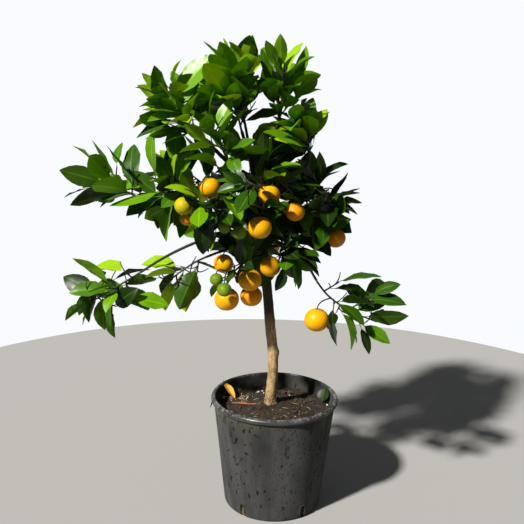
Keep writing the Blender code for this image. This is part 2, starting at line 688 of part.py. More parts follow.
def keep_main_body(mesh):
    """Drops loose scraps, and the walls of hollows that fusing has sealed."""
    bm = bmesh.new()
    bm.from_mesh(mesh)
    left, bodies = set(bm.faces), []
    while left:
        first = left.pop()
        body, edge = {first}, [first]
        while edge:
            face = edge.pop()
            near = {other for side in face.edges for other in side.link_faces}
            fresh = near & left
            left -= fresh
            body |= fresh
            edge.extend(fresh)
        bodies.append(body)
    bodies.sort(key=len)
    for body in bodies[:-1]:
        bmesh.ops.delete(bm, geom=list(body), context="FACES")
    bm.to_mesh(mesh)
    bm.free()
    return len(bodies)


def make_mass(k, twigs, leaves, collection, material):
    """One mass of foliage: its stem, joined with all its twigs, leaves and fruit."""
    name = MASS_NAMES[k]
    pieces = bpy.data.collections.new(f"{name}_pieces")
    bpy.context.scene.collection.children.link(pieces)
    meshes = [loft("twig", twig_rings(*twig)) for twig in twigs]
    meshes += [loft("leaf", rings) for rings in leaves]
    meshes += [fruit_mesh("fruit", one) for one in FRUIT if one[0] == name]
    for i, mesh in enumerate(meshes[1:]):
        new_object(f"{name}_piece_{i}", mesh, None, pieces)
    mass = new_object(name, meshes[0], material, collection)
    join = mass.modifiers.new("Join", "BOOLEAN")
    join.operation = "UNION"
    join.operand_type = "COLLECTION"
    join.collection = pieces
    join.solver = "EXACT"
    apply_modifiers(mass)
    bodies = keep_main_body(mass.data)
    for obj in list(pieces.objects):
        bpy.data.objects.remove(obj)
    bpy.data.collections.remove(pieces)
    return mass, bodies


def main():
    """Clears the scene and makes the whole tree."""
    for obj in list(bpy.data.objects):
        bpy.data.objects.remove(obj)
    tree = bpy.data.collections.new("calamondin_orange_tree")
    cutters = bpy.data.collections.new("cutters")
    bpy.context.scene.collection.children.link(tree)
    bpy.context.scene.collection.children.link(cutters)
    plastic = new_material("black_plastic", (0.035, 0.035, 0.036), 0.55)
    compost = new_material("compost", (0.035, 0.022, 0.014), 0.95)
    bark = new_material("bark", (0.30, 0.21, 0.11), 0.85)
    foliage = new_material("foliage", (0.045, 0.13, 0.020), 0.40)
    make_pot(tree, cutters, plastic)
    make_soil(tree, compost)
    make_limbs(tree, cutters, bark)
    total = 0
    for k, (twigs, leaves) in enumerate(grow_all()):
        mass, bodies = make_mass(k, twigs, leaves, tree, foliage)
        total += len(leaves)
        triangles = sum(len(face.vertices) - 2 for face in mass.data.polygons)
        grown = f"{len(twigs)} twigs, {len(leaves)} leaves"
        print(f"{mass.name}: {grown}, {triangles} triangles, {bodies} bodies")
    print(f"{total} leaves")


if __name__ == "__main__":
    main()
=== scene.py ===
"""A calamondin orange tree in its nursery pot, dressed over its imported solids.

Metres, +Z up. The origin is the centre of the pot's flat underside, the front is towards -Y.
"""

import itertools
import math
import random

import bmesh
import bpy
import numpy as np
from mathutils import Matrix, Vector, noise
from mathutils.bvhtree import BVHTree
from numpy.linalg import norm


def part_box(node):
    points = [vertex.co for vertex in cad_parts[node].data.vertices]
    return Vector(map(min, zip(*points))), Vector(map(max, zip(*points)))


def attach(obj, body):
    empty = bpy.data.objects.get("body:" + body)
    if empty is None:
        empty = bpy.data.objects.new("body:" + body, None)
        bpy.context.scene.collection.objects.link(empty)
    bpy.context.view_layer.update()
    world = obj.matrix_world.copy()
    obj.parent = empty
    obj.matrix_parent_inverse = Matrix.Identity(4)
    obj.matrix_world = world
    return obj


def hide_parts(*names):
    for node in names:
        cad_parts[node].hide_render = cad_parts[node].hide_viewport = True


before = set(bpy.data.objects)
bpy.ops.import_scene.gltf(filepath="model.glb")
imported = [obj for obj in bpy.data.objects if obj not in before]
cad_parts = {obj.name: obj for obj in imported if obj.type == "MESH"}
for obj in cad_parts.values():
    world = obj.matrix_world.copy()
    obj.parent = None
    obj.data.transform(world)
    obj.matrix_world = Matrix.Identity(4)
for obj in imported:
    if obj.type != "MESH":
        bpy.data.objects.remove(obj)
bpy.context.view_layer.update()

# Camera
# The tree is seen from standing height, from its front, with the horizon a little off level.
AIM = Vector((-0.024, 0.0, 0.392))
DISTANCE = 1.210
LOOK_DOWN = math.radians(13.53)
ROLL = math.radians(1.18)
EYE = AIM + DISTANCE * Vector((0.0, -math.cos(LOOK_DOWN), math.sin(LOOK_DOWN)))


def in_scene(name, data):
    """A new object of some data, in the scene."""
    made = bpy.data.objects.new(name, data)
    bpy.context.scene.collection.objects.link(made)
    return made


camera = in_scene("camera", bpy.data.cameras.new("camera"))
camera.data.lens = 55.0
camera.data.sensor_width = 36.0
camera.matrix_world = (
    Matrix.Translation(EYE)
    @ Matrix.Rotation(math.pi / 2 - LOOK_DOWN, 4, "X")
    @ Matrix.Rotation(ROLL, 4, "Z")
)
bpy.context.scene.camera = camera

# Floor and light
# A round pale floor under a white sky, with one sun high on the left. The floor ends behind the
# tree, so that the head stands before the sky, as in the photograph. The sky that the tree is lit
# by is dimmer than the one that shows, so that the head's inside stays dark.
FLOOR_RADIUS = 0.95
FLOOR_SIDES = 192
SUN_WAY = Vector((-0.52, -0.53, 0.67))
SUN_STRENGTH = 6.2
SUN_SPREAD = math.radians(4.0)
SKY_LIGHT = 0.10
SKY_IN_GLOSS = 0.22
SKY_SHOWN = 1.0


class Signal:
    """A shader value that takes Python's arithmetic. Each sum is one Math node."""

    def __init__(self, finish, socket):
        self.finish = finish
        self.socket = socket

    def maths(self, operation, *values):
        return self.finish.node("Math", {"operation": operation}, dict(enumerate(values)))

    def __add__(self, other):
        return self.maths("ADD", self, other)

    __radd__ = __add__

    def __sub__(self, other):
        return self.maths("SUBTRACT", self, other)

    def __rsub__(self, other):
        return self.maths("SUBTRACT", other, self)

    def __mul__(self, other):
        return self.maths("MULTIPLY", self, other)

    __rmul__ = __mul__

    def between(self, low, high):
        """0 below low, 1 above high."""
        return self.finish.node("MapRange", {"clamp": True}, {0: self, 1: low, 2: high})


class Finish:
    """A material on a Principled shader. One method makes all of its nodes."""

    def __init__(self, name, colour, roughness):
        self.material = bpy.data.materials.new(name)
        self.material.use_nodes = True
        self.tree = self.material.node_tree
        self.shader = self.tree.nodes["Principled BSDF"]
        self.colour = colour
        self.set("Base Color", colour)
        self.set("Roughness", roughness)

    def put(self, socket, value):
        if isinstance(value, Signal):
            self.tree.links.new(value.socket, socket)
        elif socket.type == "RGBA":
            socket.default_value = (*value, 1.0)
        else:
            socket.default_value = value

    def set(self, name, value):
        self.put(self.shader.inputs[name], value)

    def node(self, kind, settings, values, output=0):
        node = self.tree.nodes.new("ShaderNode" + kind)
        for name, value in settings.items():
            setattr(node, name, value)
        for name, value in values.items():
            self.put(node.inputs[name], value)
        return Signal(self, node.outputs[output])

    def mix(self, share, first, second):
        """The first colour where the share is 0, the second where it is 1."""
        return self.node("Mix", {"data_type": "RGBA"}, {0: share, 6: first, 7: second}, 2)

    def layer(self, share, colour):
        """Lays a colour over the colour so far, where the share is above 0."""
        self.colour = self.mix(share, self.colour, colour)
        self.set("Base Color", self.colour)

    def grain(self, scale, detail=2.0, rate_up=1.0, shift=0.0, rate_along=1.0):
        """Noise from 0 to 1, with lumps of about 1 / scale. A rate below 1 draws them out."""
        place = self.node("TexCoord", {}, {}, "Object")
        values = {"Vector": place, "Scale": (rate_along, 1.0, rate_up), "Location": (shift,) * 3}
        moved = self.node("Mapping", {}, values)
        return self.node("TexNoise", {}, {"Vector": moved, "Scale": scale, "Detail": detail})

    def height(self):
        """Height above the floor."""
        place = self.node("TexCoord", {}, {}, "Object")
        return self.node("SeparateXYZ", {}, {0: place}, 2)

    def bump(self, height, distance, strength=1.0):
        values = {"Height": height, "Distance": distance, "Strength": strength}
        self.set("Normal", self.node("Bump", {}, values))


def mesh_of(name, shape):
    """A mesh made of a bmesh, which is used up."""
    mesh = bpy.data.meshes.new(name)
    shape.to_mesh(mesh)
    shape.free()
    return mesh


disc = bmesh.new()
bmesh.ops.create_circle(disc, cap_ends=True, segments=FLOOR_SIDES, radius=FLOOR_RADIUS)
floor = in_scene("floor", mesh_of("floor", disc))
floor.data.materials.append(Finish("floor_paint", (0.37, 0.37, 0.365), 0.9).material)

sun = bpy.data.lights.new("sun", "SUN")
sun.energy = SUN_STRENGTH
sun.angle = SUN_SPREAD
sun.color = (1.0, 0.965, 0.90)
in_scene("sun", sun).matrix_world = SUN_WAY.to_track_quat("Z", "Y").to_matrix().to_4x4()

sky = bpy.data.worlds.new("sky")
sky.use_nodes = True
bpy.context.scene.world = sky
seen = sky.node_tree.nodes.new("ShaderNodeLightPath")
strength = sky.node_tree.nodes["Background"].inputs["Strength"]
strength.default_value = SKY_LIGHT
for ray, shown in (("Is Glossy Ray", SKY_IN_GLOSS), ("Is Camera Ray", SKY_SHOWN)):
    level = sky.node_tree.nodes.new("ShaderNodeMix")
    level.inputs[2].default_value = SKY_LIGHT
    level.inputs[3].default_value = shown
    sky.node_tree.links.new(seen.outputs[ray], level.inputs[0])
    for link in strength.links:
        sky.node_tree.links.new(link.from_socket, level.inputs[2])
    sky.node_tree.links.new(level.outputs[0], strength)
sky.node_tree.nodes["Background"].inputs["Color"].default_value = (0.95, 0.97, 1.0, 1.0)
bpy.context.scene.view_settings.view_transform = "Standard"

# Pot
# A blow-moulded black nursery pot: a thin tapering wall with a rolled rim, five drain slots
# through the foot of the wall, and a torn tab of flash under the rim on the left.
POT_SIDES = 160
NECK_RADIUS = 0.0949
FOOT_RADIUS = 0.0763
WALL = 0.0018
RIM_SLACK = 0.0003
RIM_DEPTH = 0.0095
FOOT_ROUND = 0.005
BASE_RISE = 0.0014
SLOT_COUNT = 5
SLOT_WIDTH = 0.008
SLOT_TOP = 0.022
SLOT_INTO_FLOOR = 0.012

pot_corner = Vector(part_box("pot")[1])
pot_height = pot_corner.z
neck = pot_height - RIM_DEPTH


def wall_radius(z, inset=0.0):
    """Outer radius of the tapering wall at a height, less an inset."""
    return FOOT_RADIUS + (NECK_RADIUS - FOOT_RADIUS) * min(z / neck, 1.0) - inset


def bow(radius, height, size, first, last, steps):
    """Profile points on an arc about a point, by its angles in degrees."""
    angles = [math.radians(a) for a in np.linspace(first, last, steps + 1)]
    return [(radius + size * math.cos(a), height + size * math.sin(a)) for a in angles]


def close_up(shape, within=0.00001):
    """Joins the points that meet, and turns every face outward."""
    bmesh.ops.remove_doubles(shape, verts=shape.verts, dist=within)
    bmesh.ops.recalc_face_normals(shape, faces=shape.faces)


def turned_shape(profile, sides):
    """A bmesh of a profile spun about Z. The profile's points are radius and height."""
    shape = bmesh.new()
    corners = [shape.verts.new((r, 0.0, z)) for r, z in profile]
    edges = [shape.edges.new(pair) for pair in zip(corners, corners[1:])]
    whole = corners + edges
    bmesh.ops.spin(
        shape, geom=whole, cent=(0, 0, 0), axis=(0, 0, 1), angle=math.tau, steps=sides, use_merge=True
    )
    close_up(shape)
    return shape


def piece(name, mesh, finishes, sharp=40):
    """A new piece at the origin, from a mesh or a bmesh, that rides on the plant's one body."""
    if isinstance(mesh, bmesh.types.BMesh):
        mesh = mesh_of(name, mesh)
    for finish in finishes:
        mesh.materials.append(finish.material)
    mesh.shade_smooth()
    mesh.set_sharp_from_angle(angle=math.radians(sharp))
    made = in_scene(name, mesh)
    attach(made, "root")
    return made


def plastic_finish():
    """Matte black plastic with rain-washed dust, dark specks and scuffs; the rim's top is painted paler in
    specks, partly as wear and partly as painted highlight.
    """
    finish = Finish("black_plastic", (0.024, 0.0245, 0.0250), 0.6)
    finish.set("Specular IOR Level", 0.08)
    finish.set("Diffuse Roughness", 1.0)
    height = finish.height()
    cloud = finish.grain(14.0, 4.0, 0.6)
    streak = finish.grain(60.0, 3.0, 0.14, 3.0)
    speck = finish.grain(150.0, 2.0, 0.55, 7.0)
    patch = finish.grain(22.0, 2.0, 1.0, 11.0)
    fine = finish.grain(900.0)
    finish.layer(cloud.between(0.35, 0.70), (0.064, 0.065, 0.066))
    finish.layer(streak.between(0.45, 0.75) * 0.6, (0.076, 0.077, 0.077))
    high = height.between(neck - 0.035, neck - 0.004) * (1.0 - height.between(neck, neck + 0.001))
    finish.layer(high * patch.between(0.42, 0.66) * 0.8, (0.075, 0.078, 0.052))
    drip = finish.grain(48.0, 4.0, 0.10, 17.0).between(0.63, 0.68) * patch.between(0.46, 0.56)
    pits = finish.grain(330.0, 3.0, 0.7, 13.0).between(0.58, 0.64) * cloud.between(0.42, 0.60)
    dark = speck.between(0.62, 0.67) * patch.between(0.38, 0.54) + drip * 0.7 + pits * 0.55
    finish.layer(dark.between(0.0, 1.0) * 0.9, (0.004, 0.004, 0.004))
    light = finish.grain(420.0, 1.0, 0.6, 5.0).between(0.76, 0.80)
    finish.layer(light * 0.7, (0.16, 0.15, 0.12))
    # Pale specks on the rim's top: partly wear, partly painted highlight that stands in for glints of light
    # on the rim.
    rim_wear_and_glint_specks = finish.grain(260.0, 3.0, 1.0, 23.0).between(0.50, 0.62)
    rim_wear_and_sheen = height.between(neck + 0.0035, pot_height - 0.002) * (streak.between(0.35, 0.62) * 0.5 + rim_wear_and_glint_specks)
    finish.layer(rim_wear_and_sheen.between(0.2, 1.3) * 0.8, (0.20, 0.19, 0.17))
    finish.set("Roughness", 0.46 + cloud * 0.22 + dark * 0.15)
    finish.set("Coat Weight", height.between(neck + 0.001, neck + 0.004) * patch.between(0.30, 0.60) * 0.8)
    finish.set("Coat Roughness", 0.34)
    finish.bump(cloud * 0.3 + fine * 0.12 + dark * 0.6, 0.0012, 0.6)
    return finish


def final_mesh(made):
    """The mesh of an object with its modifiers or its bevel applied. The object goes."""
    mesh = bpy.data.meshes.new_from_object(made.evaluated_get(bpy.context.evaluated_depsgraph_get()))
    bpy.data.objects.remove(made)
    return mesh


def slot_turn(i):
    """The turn about Z that takes +X to a drain slot."""
    return Matrix.Rotation(math.tau * (i + 0.5) / SLOT_COUNT - math.pi / 2, 3, "Z")


half_rim = RIM_DEPTH / 2
bead = pot_corner.x - RIM_SLACK - half_rim
inside = wall_radius(neck, WALL)
pot_profile = [(0.0, WALL + BASE_RISE), (wall_radius(WALL, 0.012), WALL + BASE_RISE)]
pot_profile += [(wall_radius(z, WALL), z) for z in np.linspace(0.006, neck, 22)]
pot_profile.append((inside, pot_height - 0.0024))
pot_profile += bow(inside + 0.0020, pot_height - 0.0020, 0.0020, 180, 100, 4)
pot_profile += bow(bead, pot_height - half_rim, half_rim, 88, -72, 12)
pot_profile += [(NECK_RADIUS + 0.0009, neck + 0.0004), (NECK_RADIUS, neck - 0.0010)]
pot_profile += [(wall_radius(z), z) for z in np.linspace(neck - 0.003, FOOT_ROUND + 0.002, 44)]
pot_profile += bow(wall_radius(FOOT_ROUND) - FOOT_ROUND, FOOT_ROUND, FOOT_ROUND, 0, -90, 6)
pot_profile += [(0.0665, 0.0), (0.0650, BASE_RISE), (0.0, BASE_RISE)]
pot_shape = turned_shape(pot_profile, POT_SIDES)
for corner in pot_shape.verts:
    outward = Vector((corner.co.x, corner.co.y, 0.0))
    if outward.length > FOOT_RADIUS - 0.004 and corner.co.z > 0.002:
        dent = noise.noise(corner.co * 16.0) * 0.00045 + noise.noise(corner.co * 55.0) * 0.00012
        corner.co += outward.normalized() * dent

slots = bmesh.new()
for i in range(SLOT_COUNT):
    cube = bmesh.ops.create_cube(slots, size=1.0)["verts"]
    depth = SLOT_INTO_FLOOR + 0.01
    middle = (FOOT_RADIUS - SLOT_INTO_FLOOR + depth / 2, 0.0, SLOT_TOP / 2 - 0.005)
    grown = Matrix.Diagonal((depth, SLOT_WIDTH, SLOT_TOP + 0.01, 1.0))
    placed = slot_turn(i).to_4x4() @ Matrix.Translation(middle) @ grown
    bmesh.ops.transform(slots, matrix=placed, verts=cube)
top_edges = [edge for edge in slots.edges if min(corner.co.z for corner in edge.verts) > SLOT_TOP - 0.001]
top_edges = [edge for edge in top_edges if edge.calc_length() > SLOT_WIDTH * 1.5]
bmesh.ops.bevel(slots, geom=top_edges, offset=0.0024, segments=4, profile=0.5, affect="EDGES", material=-1)
cutter = in_scene("slot_cutter", mesh_of("slot_cutter", slots))
raw = in_scene("pot_raw", mesh_of("pot_raw", pot_shape))
cut = raw.modifiers.new("slots", "BOOLEAN")
cut.operation = "DIFFERENCE"
cut.solver = "EXACT"
cut.object = cutter
pot_mesh = final_mesh(raw)
bpy.data.objects.remove(cutter)
plastic = plastic_finish()
pot = piece("nursery_pot", pot_mesh, [plastic], 35)
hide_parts("pot")


def tube_mesh(name, rods, resolution):
    """One mesh of round rods, each given as its points and radii, with closed ends."""
    curve = bpy.data.curves.new(name, "CURVE")
    curve.dimensions = "3D"
    curve.bevel_depth = 1.0
    curve.bevel_resolution = resolution
    curve.use_fill_caps = True
    for points, radii in rods:
        spline = curve.splines.new("POLY")
        spline.points.add(len(points) - 1)
        for corner, place, radius in zip(spline.points, points, radii):
            corner.co = (*place, 1.0)
            corner.radius = radius
    mesh = final_mesh(in_scene(name, curve))
    shape = bmesh.new()
    shape.from_mesh(mesh)
    close_up(shape, 0.000005)
    shape.to_mesh(mesh)
    shape.free()
    return mesh


# Slot mouldings
# Each drain slot has a thin raised moulding round its mouth.
MOULDING_RADIUS = 0.0008

mouldings = []
side = SLOT_WIDTH / 2 + 0.0007
path = [(-side, 0.005), (-side, SLOT_TOP - 0.0020), (-side + 0.0016, SLOT_TOP + 0.0004)]
path += [(-x, z) for x, z in reversed(path)]
for i in range(SLOT_COUNT):
    points = [slot_turn(i) @ Vector((wall_radius(z), x, z)) for x, z in path]
    mouldings.append((points, [MOULDING_RADIUS] * len(points)))
piece("slot_mouldings", tube_mesh("slot_mouldings", mouldings, 2), [plastic])

# Flash tab
# A scrap of plastic left by the mould hangs torn from the rim, on the left.
TAB_ROOT = Vector((-0.0965, -0.004, neck + 0.0004))
tab = bmesh.new()
bmesh.ops.create_grid(tab, x_segments=4, y_segments=8, size=0.5)
for corner in tab.verts:
    u, v = corner.co.x, 0.5 - corner.co.y
    narrow = 0.0062 * (1.0 - v) ** 0.8 + 0.0004
    hang = Vector((-0.0026 * v - 0.0016 * v * v, -0.006 * v, -0.0105 * v))
    corner.co = TAB_ROOT + hang + u * narrow * Vector((0.55, 0.80, 0.0))
bmesh.ops.solidify(tab, geom=tab.faces, thickness=0.0006)
bmesh.ops.recalc_face_normals(tab, faces=tab.faces)
piece("flash_tab", tab, [plastic])

# Compost
# Dark potting compost with clods, grit and straw. It fills the pot to 24 mm below the rim and
# rises a little to the stem.
SOIL_EDGE_HEIGHT = 0.154
SOIL_CROWN_HEIGHT = 0.164
SOIL_FLAT_RADIUS = 0.014
SOIL_INSET = 0.0023
STEM_FOOT = Vector((-0.006, 0.0, SOIL_CROWN_HEIGHT))
RELIEF = 0.0030


def lump(x, y, layer, scale):
    """Noise from -1 to 1 at a place on the compost, with lumps of about 1 / scale."""
    return noise.noise(Vector((x, y, layer)) * scale)


def compost_top(x, y):
    """Height of the compost at a place."""
    edge = wall_radius(SOIL_EDGE_HEIGHT, SOIL_INSET)
    share = min(max((math.hypot(x, y) - SOIL_FLAT_RADIUS) / (edge - SOIL_FLAT_RADIUS), 0.0), 1.0)
    mound = SOIL_CROWN_HEIGHT - (SOIL_CROWN_HEIGHT - SOIL_EDGE_HEIGHT) * math.sin(share * math.pi / 2)
    near_stem = min(max((math.hypot(x - STEM_FOOT.x, y) - 0.010) / 0.02, 0.0), 1.0)
    lumps = lump(x, y, 0.3, 45.0) + 0.55 * lump(x, y, 0.9, 130.0)
    fine = 0.40 * lump(x, y, 0.1, 330.0) + 0.22 * lump(x, y, 0.5, 800.0)
    return mound + RELIEF * (lumps * (0.3 + 0.7 * near_stem) + fine)


def compost_finish(name, dark, light):
    """Damp earth in two tones, rough all over."""
    finish = Finish(name, dark, 0.95)
    clods = finish.grain(90.0, 6.0)
    grit = finish.grain(700.0, 3.0, 1.0, 4.0)
    finish.layer(clods.between(0.38, 0.66), light)
    finish.layer(grit.between(0.60, 0.74) * 0.5, (0.12, 0.085, 0.05))
    finish.set("Roughness", 0.80 + clods * 0.18)
    finish.bump(clods + grit * 0.4, 0.0015, 0.8)
    return finish


soil_edge = wall_radius(SOIL_EDGE_HEIGHT, SOIL_INSET)
soil_profile = [(r, SOIL_CROWN_HEIGHT) for r in np.linspace(0.0, soil_edge, 76)]
soil_profile += [(wall_radius(z, SOIL_INSET), z) for z in np.linspace(SOIL_EDGE_HEIGHT - 0.004, 0.0037, 8)]
soil_profile.append((0.0, 0.0037))
soil_shape = turned_shape(soil_profile, 200)
for corner in soil_shape.verts:
    if corner.co.z > SOIL_CROWN_HEIGHT - 0.0005:
        corner.co.z = compost_top(corner.co.x, corner.co.y)
earth = compost_finish("compost_earth", (0.007, 0.005, 0.003), (0.034, 0.023, 0.012))
compost = piece("compost", soil_shape, [earth], 60)
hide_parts("soil")


def joined(name, parts):
    """One mesh from many small parts, each given as its points, its faces and their finishes."""
    points, faces, kinds = [], [], []
    for part_points, part_faces, part_kinds in parts:
        base = sum(map(len, points))
        points.append(part_points)
        faces.append((base, part_faces))
        kinds.extend(part_kinds)
    mesh = bpy.data.meshes.new(name)
    corners = np.concatenate(points)
    numbered = [[base + i for i in face] for base, rows in faces for face in rows]
    mesh.from_pydata(corners.tolist(), [], numbered)
    mesh.polygons.foreach_set("material_index", kinds)
    return mesh


def pattern_of(shape):
    """Points and faces of a bmesh, to be repeated."""
    shape.verts.ensure_lookup_table()
    shape.verts.index_update()
    points = np.array([corner.co for corner in shape.verts])
    faces = [[corner.index for corner in face.verts] for face in shape.faces]
    shape.free()
    return points, faces


def pebble(rough, seed):
    """A lump with an uneven skin, 1 across."""
    shape = bmesh.new()
    bmesh.ops.create_icosphere(shape, subdivisions=2, radius=0.5)
    for corner in shape.verts:
        corner.co *= 1.0 + rough * noise.noise(corner.co * 2.6 + Vector((seed, 0.0, 0.0)))
    return pattern_of(shape)


# Crumbs, grit and straw
# Loose bits that lie on the compost: dark crumbs, brown bark chips, white grit and pale straw.
DARK, CHIP, GRIT = range(3)
CRUMBS = (
    (560, 0.0010, 0.0036, 0.80, DARK),
    (170, 0.0014, 0.0046, 0.60, CHIP),
    (34, 0.0012, 0.0026, 0.80, GRIT),
)
STRAW_COUNT = 74
CLUMP_COUNT = 34
CLUMP = (-0.053, 0.040)

rng = random.Random(21)
lumps = [pebble(0.9, seed) for seed in range(6)]
parts = []
for count, smallest, largest, flatness, kind in CRUMBS:
    for _ in range(count):
        reach, turn = math.sqrt(rng.random()) * (soil_edge - 0.003), rng.uniform(0, math.tau)
        x, y = reach * math.cos(turn), reach * math.sin(turn)
        if math.hypot(x - STEM_FOOT.x, y) < 0.011:
            continue
        size = smallest + (largest - smallest) * rng.random() ** 2.2
        points, faces = rng.choice(lumps)
        spin = np.array(Matrix.Rotation(rng.uniform(0, math.tau), 3, (rng.random(), rng.random(), 1.0)))
        stretch = np.array([1.0, rng.uniform(0.55, 1.0), flatness])
        place = np.array([x, y, compost_top(x, y) + 0.22 * size])
        parts.append(((points * stretch * size) @ spin.T + place, faces, [kind] * len(faces)))
crumb_finishes = [
    compost_finish("dark_crumb", (0.012, 0.008, 0.006), (0.055, 0.036, 0.022)),
    compost_finish("bark_chip", (0.045, 0.026, 0.013), (0.13, 0.080, 0.042)),
    Finish("white_grit", (0.62, 0.58, 0.50), 0.8),
]
piece("crumbs", joined("crumbs", parts), crumb_finishes, 60)

straws = []
for i in range(STRAW_COUNT):
    clump = i < CLUMP_COUNT
    x = rng.gauss(CLUMP[0], 0.009) if clump else rng.uniform(-0.078, 0.078)
    y = rng.gauss(CLUMP[1], 0.012) if clump else rng.uniform(-0.078, 0.078)
    if math.hypot(x, y) > soil_edge - 0.006 or math.hypot(x - STEM_FOOT.x, y) < 0.012:
        continue
    turn, length = rng.uniform(0, math.tau), rng.uniform(0.004, 0.012)
    ahead = Vector((math.cos(turn), math.sin(turn), 0.0)) * length / 2
    lift = rng.uniform(0.0002, 0.0022 if clump else 0.0010)
    points = []
    for share in (-1.0, 0.0, 1.0):
        spot = Vector((x, y, 0.0)) + ahead * share
        points.append((spot.x, spot.y, compost_top(spot.x, spot.y) + 0.0004 + lift * (1.0 - share * share)))
    straws.append((points, [0.00028, 0.00042, 0.00022]))
straw = Finish("dry_straw", (0.36, 0.26, 0.12), 0.8)
piece("straw", tube_mesh("straw", straws, 1), [straw])

# Slot roots
# Brown roots have grown to the drain slot at the front left and lie tangled in it.
ROOT_SLOT = 4
ROOT_COUNT = 9
ROOT_RADII = [0.0005, 0.0006, 0.0006, 0.0005, 0.0004, 0.0003]

roots = []
for _ in range(ROOT_COUNT):
    side = rng.uniform(-0.0030, 0.0030)
    points = []
    for z in np.linspace(0.0025, rng.uniform(0.012, 0.019), len(ROOT_RADII)):
        side = min(max(side + rng.uniform(-0.0012, 0.0012), -0.0034), 0.0034)
        depth = rng.uniform(0.0008, 0.0018)
        points.append(slot_turn(ROOT_SLOT) @ Vector((wall_radius(z, depth), side, z)))
    roots.append((points, ROOT_RADII))
root_skin = Finish("root_skin", (0.15, 0.105, 0.050), 0.8)
piece("slot_roots", tube_mesh("slot_roots", roots, 1), [root_skin])

# Big grit, two clods and a brown stick
# They lie where the photograph shows them, most of them on the left and behind the stem.
BIG_BITS = (
    ((-0.0815, 0.0385), 0.0062, GRIT),
    ((-0.0255, 0.0600), 0.0040, GRIT),
    ((-0.0190, 0.0610), 0.0034, GRIT),
    ((-0.0560, 0.0700), 0.0066, CHIP),
    ((0.0140, 0.0600), 0.0130, DARK),
    ((0.0270, 0.0560), 0.0080, CHIP),
    ((0.0030, 0.0640), 0.0090, DARK),
    ((0.0850, 0.0160), 0.0030, GRIT),
)
STICK = ((-0.0668, 0.0098), (-0.0540, 0.0075), (-0.0400, 0.0030), (-0.0276, -0.0013))
STICK_RADII = [0.0014, 0.0019, 0.0017, 0.0010]

parts = []
for i, ((x, y), size, kind) in enumerate(BIG_BITS):
    points, faces = pebble(0.8, 10 + i)
    place = np.array([x, y, compost_top(x, y) + 0.25 * size])
    parts.append((points * np.array([1.0, 0.9, 0.75]) * size + place, faces, [kind] * len(faces)))
piece("clods", joined("clods", parts), crumb_finishes, 60)

stick_route = [(x, y, compost_top(x, y) + 0.0026) for x, y in STICK]
stick = Finish("stick_bark", (0.13, 0.036, 0.014), 0.7)
stick_grain = stick.grain(260.0, 3.0, rate_along=0.3)
stick.layer(stick_grain.between(0.35, 0.65), (0.30, 0.095, 0.035))
stick.bump(stick_grain, 0.0006)
piece("stick", tube_mesh("stick", [(stick_route, STICK_RADII)], 3), [stick])

# Woody parts
# One slender stem, cut flat at the compost, with limbs that fork from it one by one. Each route
# repeats the source's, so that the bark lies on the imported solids.
GAP = 0.0003
UP = np.array([0.0, 0.0, 1.0])
TRUNK_ROUTE = (
    ((-0.0060, 0.000, SOIL_CROWN_HEIGHT + GAP), 0.0102),
    ((-0.0060, 0.000, 0.176), 0.0086),
    ((-0.0035, 0.000, 0.212), 0.0080),
    ((-0.0045, 0.000, 0.252), 0.0079),
    ((-0.0100, 0.000, 0.296), 0.0077),
    ((-0.0150, 0.000, 0.348), 0.0074),
    ((-0.0220, 0.003, 0.410), 0.0066),
    ((-0.0320, 0.004, 0.480), 0.0050),
    ((-0.0480, 0.004, 0.572), 0.0030),
)
TRUNK_STEPS_PER_POINT = 2
LIMB_STEPS = 5
LIMBS = {
    "limb_low_front": ("trunk", 0.570, (-0.040, -0.030, 0.404), 0.006, 0.0032, 0.0022),
    "limb_low_back": ("trunk", 0.590, (-0.030, 0.030, 0.420), 0.004, 0.0032, 0.0022),
    "limb_low_right": ("trunk", 0.605, (-0.002, -0.014, 0.420), 0.002, 0.0030, 0.0020),
    "limb_left_inner": ("trunk", 0.625, (-0.104, -0.050, 0.410), 0.008, 0.0026, 0.0018),
    "limb_back_left": ("trunk", 0.640, (-0.080, 0.034, 0.474), 0.002, 0.0036, 0.0024),
    "limb_right_low": ("trunk", 0.650, (0.057, -0.036, 0.374), 0.044, 0.0027, 0.0018),
    "limb_back_right": ("trunk", 0.665, (0.006, 0.034, 0.454), 0.004, 0.0036, 0.0024),
    "limb_left_low": ("trunk", 0.680, (-0.200, -0.056, 0.386), 0.030, 0.0028, 0.0018),
    "limb_right": ("trunk", 0.700, (0.026, 0.002, 0.466), 0.004, 0.0038, 0.0024),
    "limb_front_left": ("trunk", 0.720, (-0.078, -0.042, 0.480), 0.004, 0.0034, 0.0022),
    "limb_left": ("trunk", 0.745, (-0.108, 0.000, 0.496), 0.002, 0.0042, 0.0028),
    "limb_left_high": ("limb_left", 0.800, (-0.182, -0.030, 0.490), 0.000, 0.0028, 0.0020),
    "limb_right_up": ("trunk", 0.765, (0.034, -0.008, 0.536), -0.016, 0.0038, 0.0024),
    "limb_middle": ("trunk", 0.780, (-0.064, -0.026, 0.528), -0.002, 0.0032, 0.0022),
    "limb_back": ("trunk", 0.795, (-0.034, 0.040, 0.510), 0.002, 0.0040, 0.0026),
    "limb_front": ("trunk", 0.740, (-0.024, -0.036, 0.492), 0.000, 0.0034, 0.0022),
    "limb_top_left": ("trunk", 0.840, (-0.108, -0.006, 0.572), -0.004, 0.0038, 0.0026),
    "limb_top_right": ("trunk", 0.870, (-0.008, -0.004, 0.590), -0.006, 0.0034, 0.0024),
    "limb_back_top": ("trunk", 0.910, (-0.058, 0.030, 0.584), 0.000, 0.0030, 0.0024),
}


def unit(vector):
    """The vector at length 1."""
    return vector / norm(vector)


def square_to(vector, axis):
    """The part of a vector that is square to a unit axis, at length 1."""
    return unit(vector - axis * float(vector @ axis))


def turned(vector, axis, angle):
    """The vector turned about a unit axis."""
    c, s = math.cos(angle), math.sin(angle)
    return vector * c + np.cross(axis, vector) * s + axis * float(vector @ axis) * (1 - c)


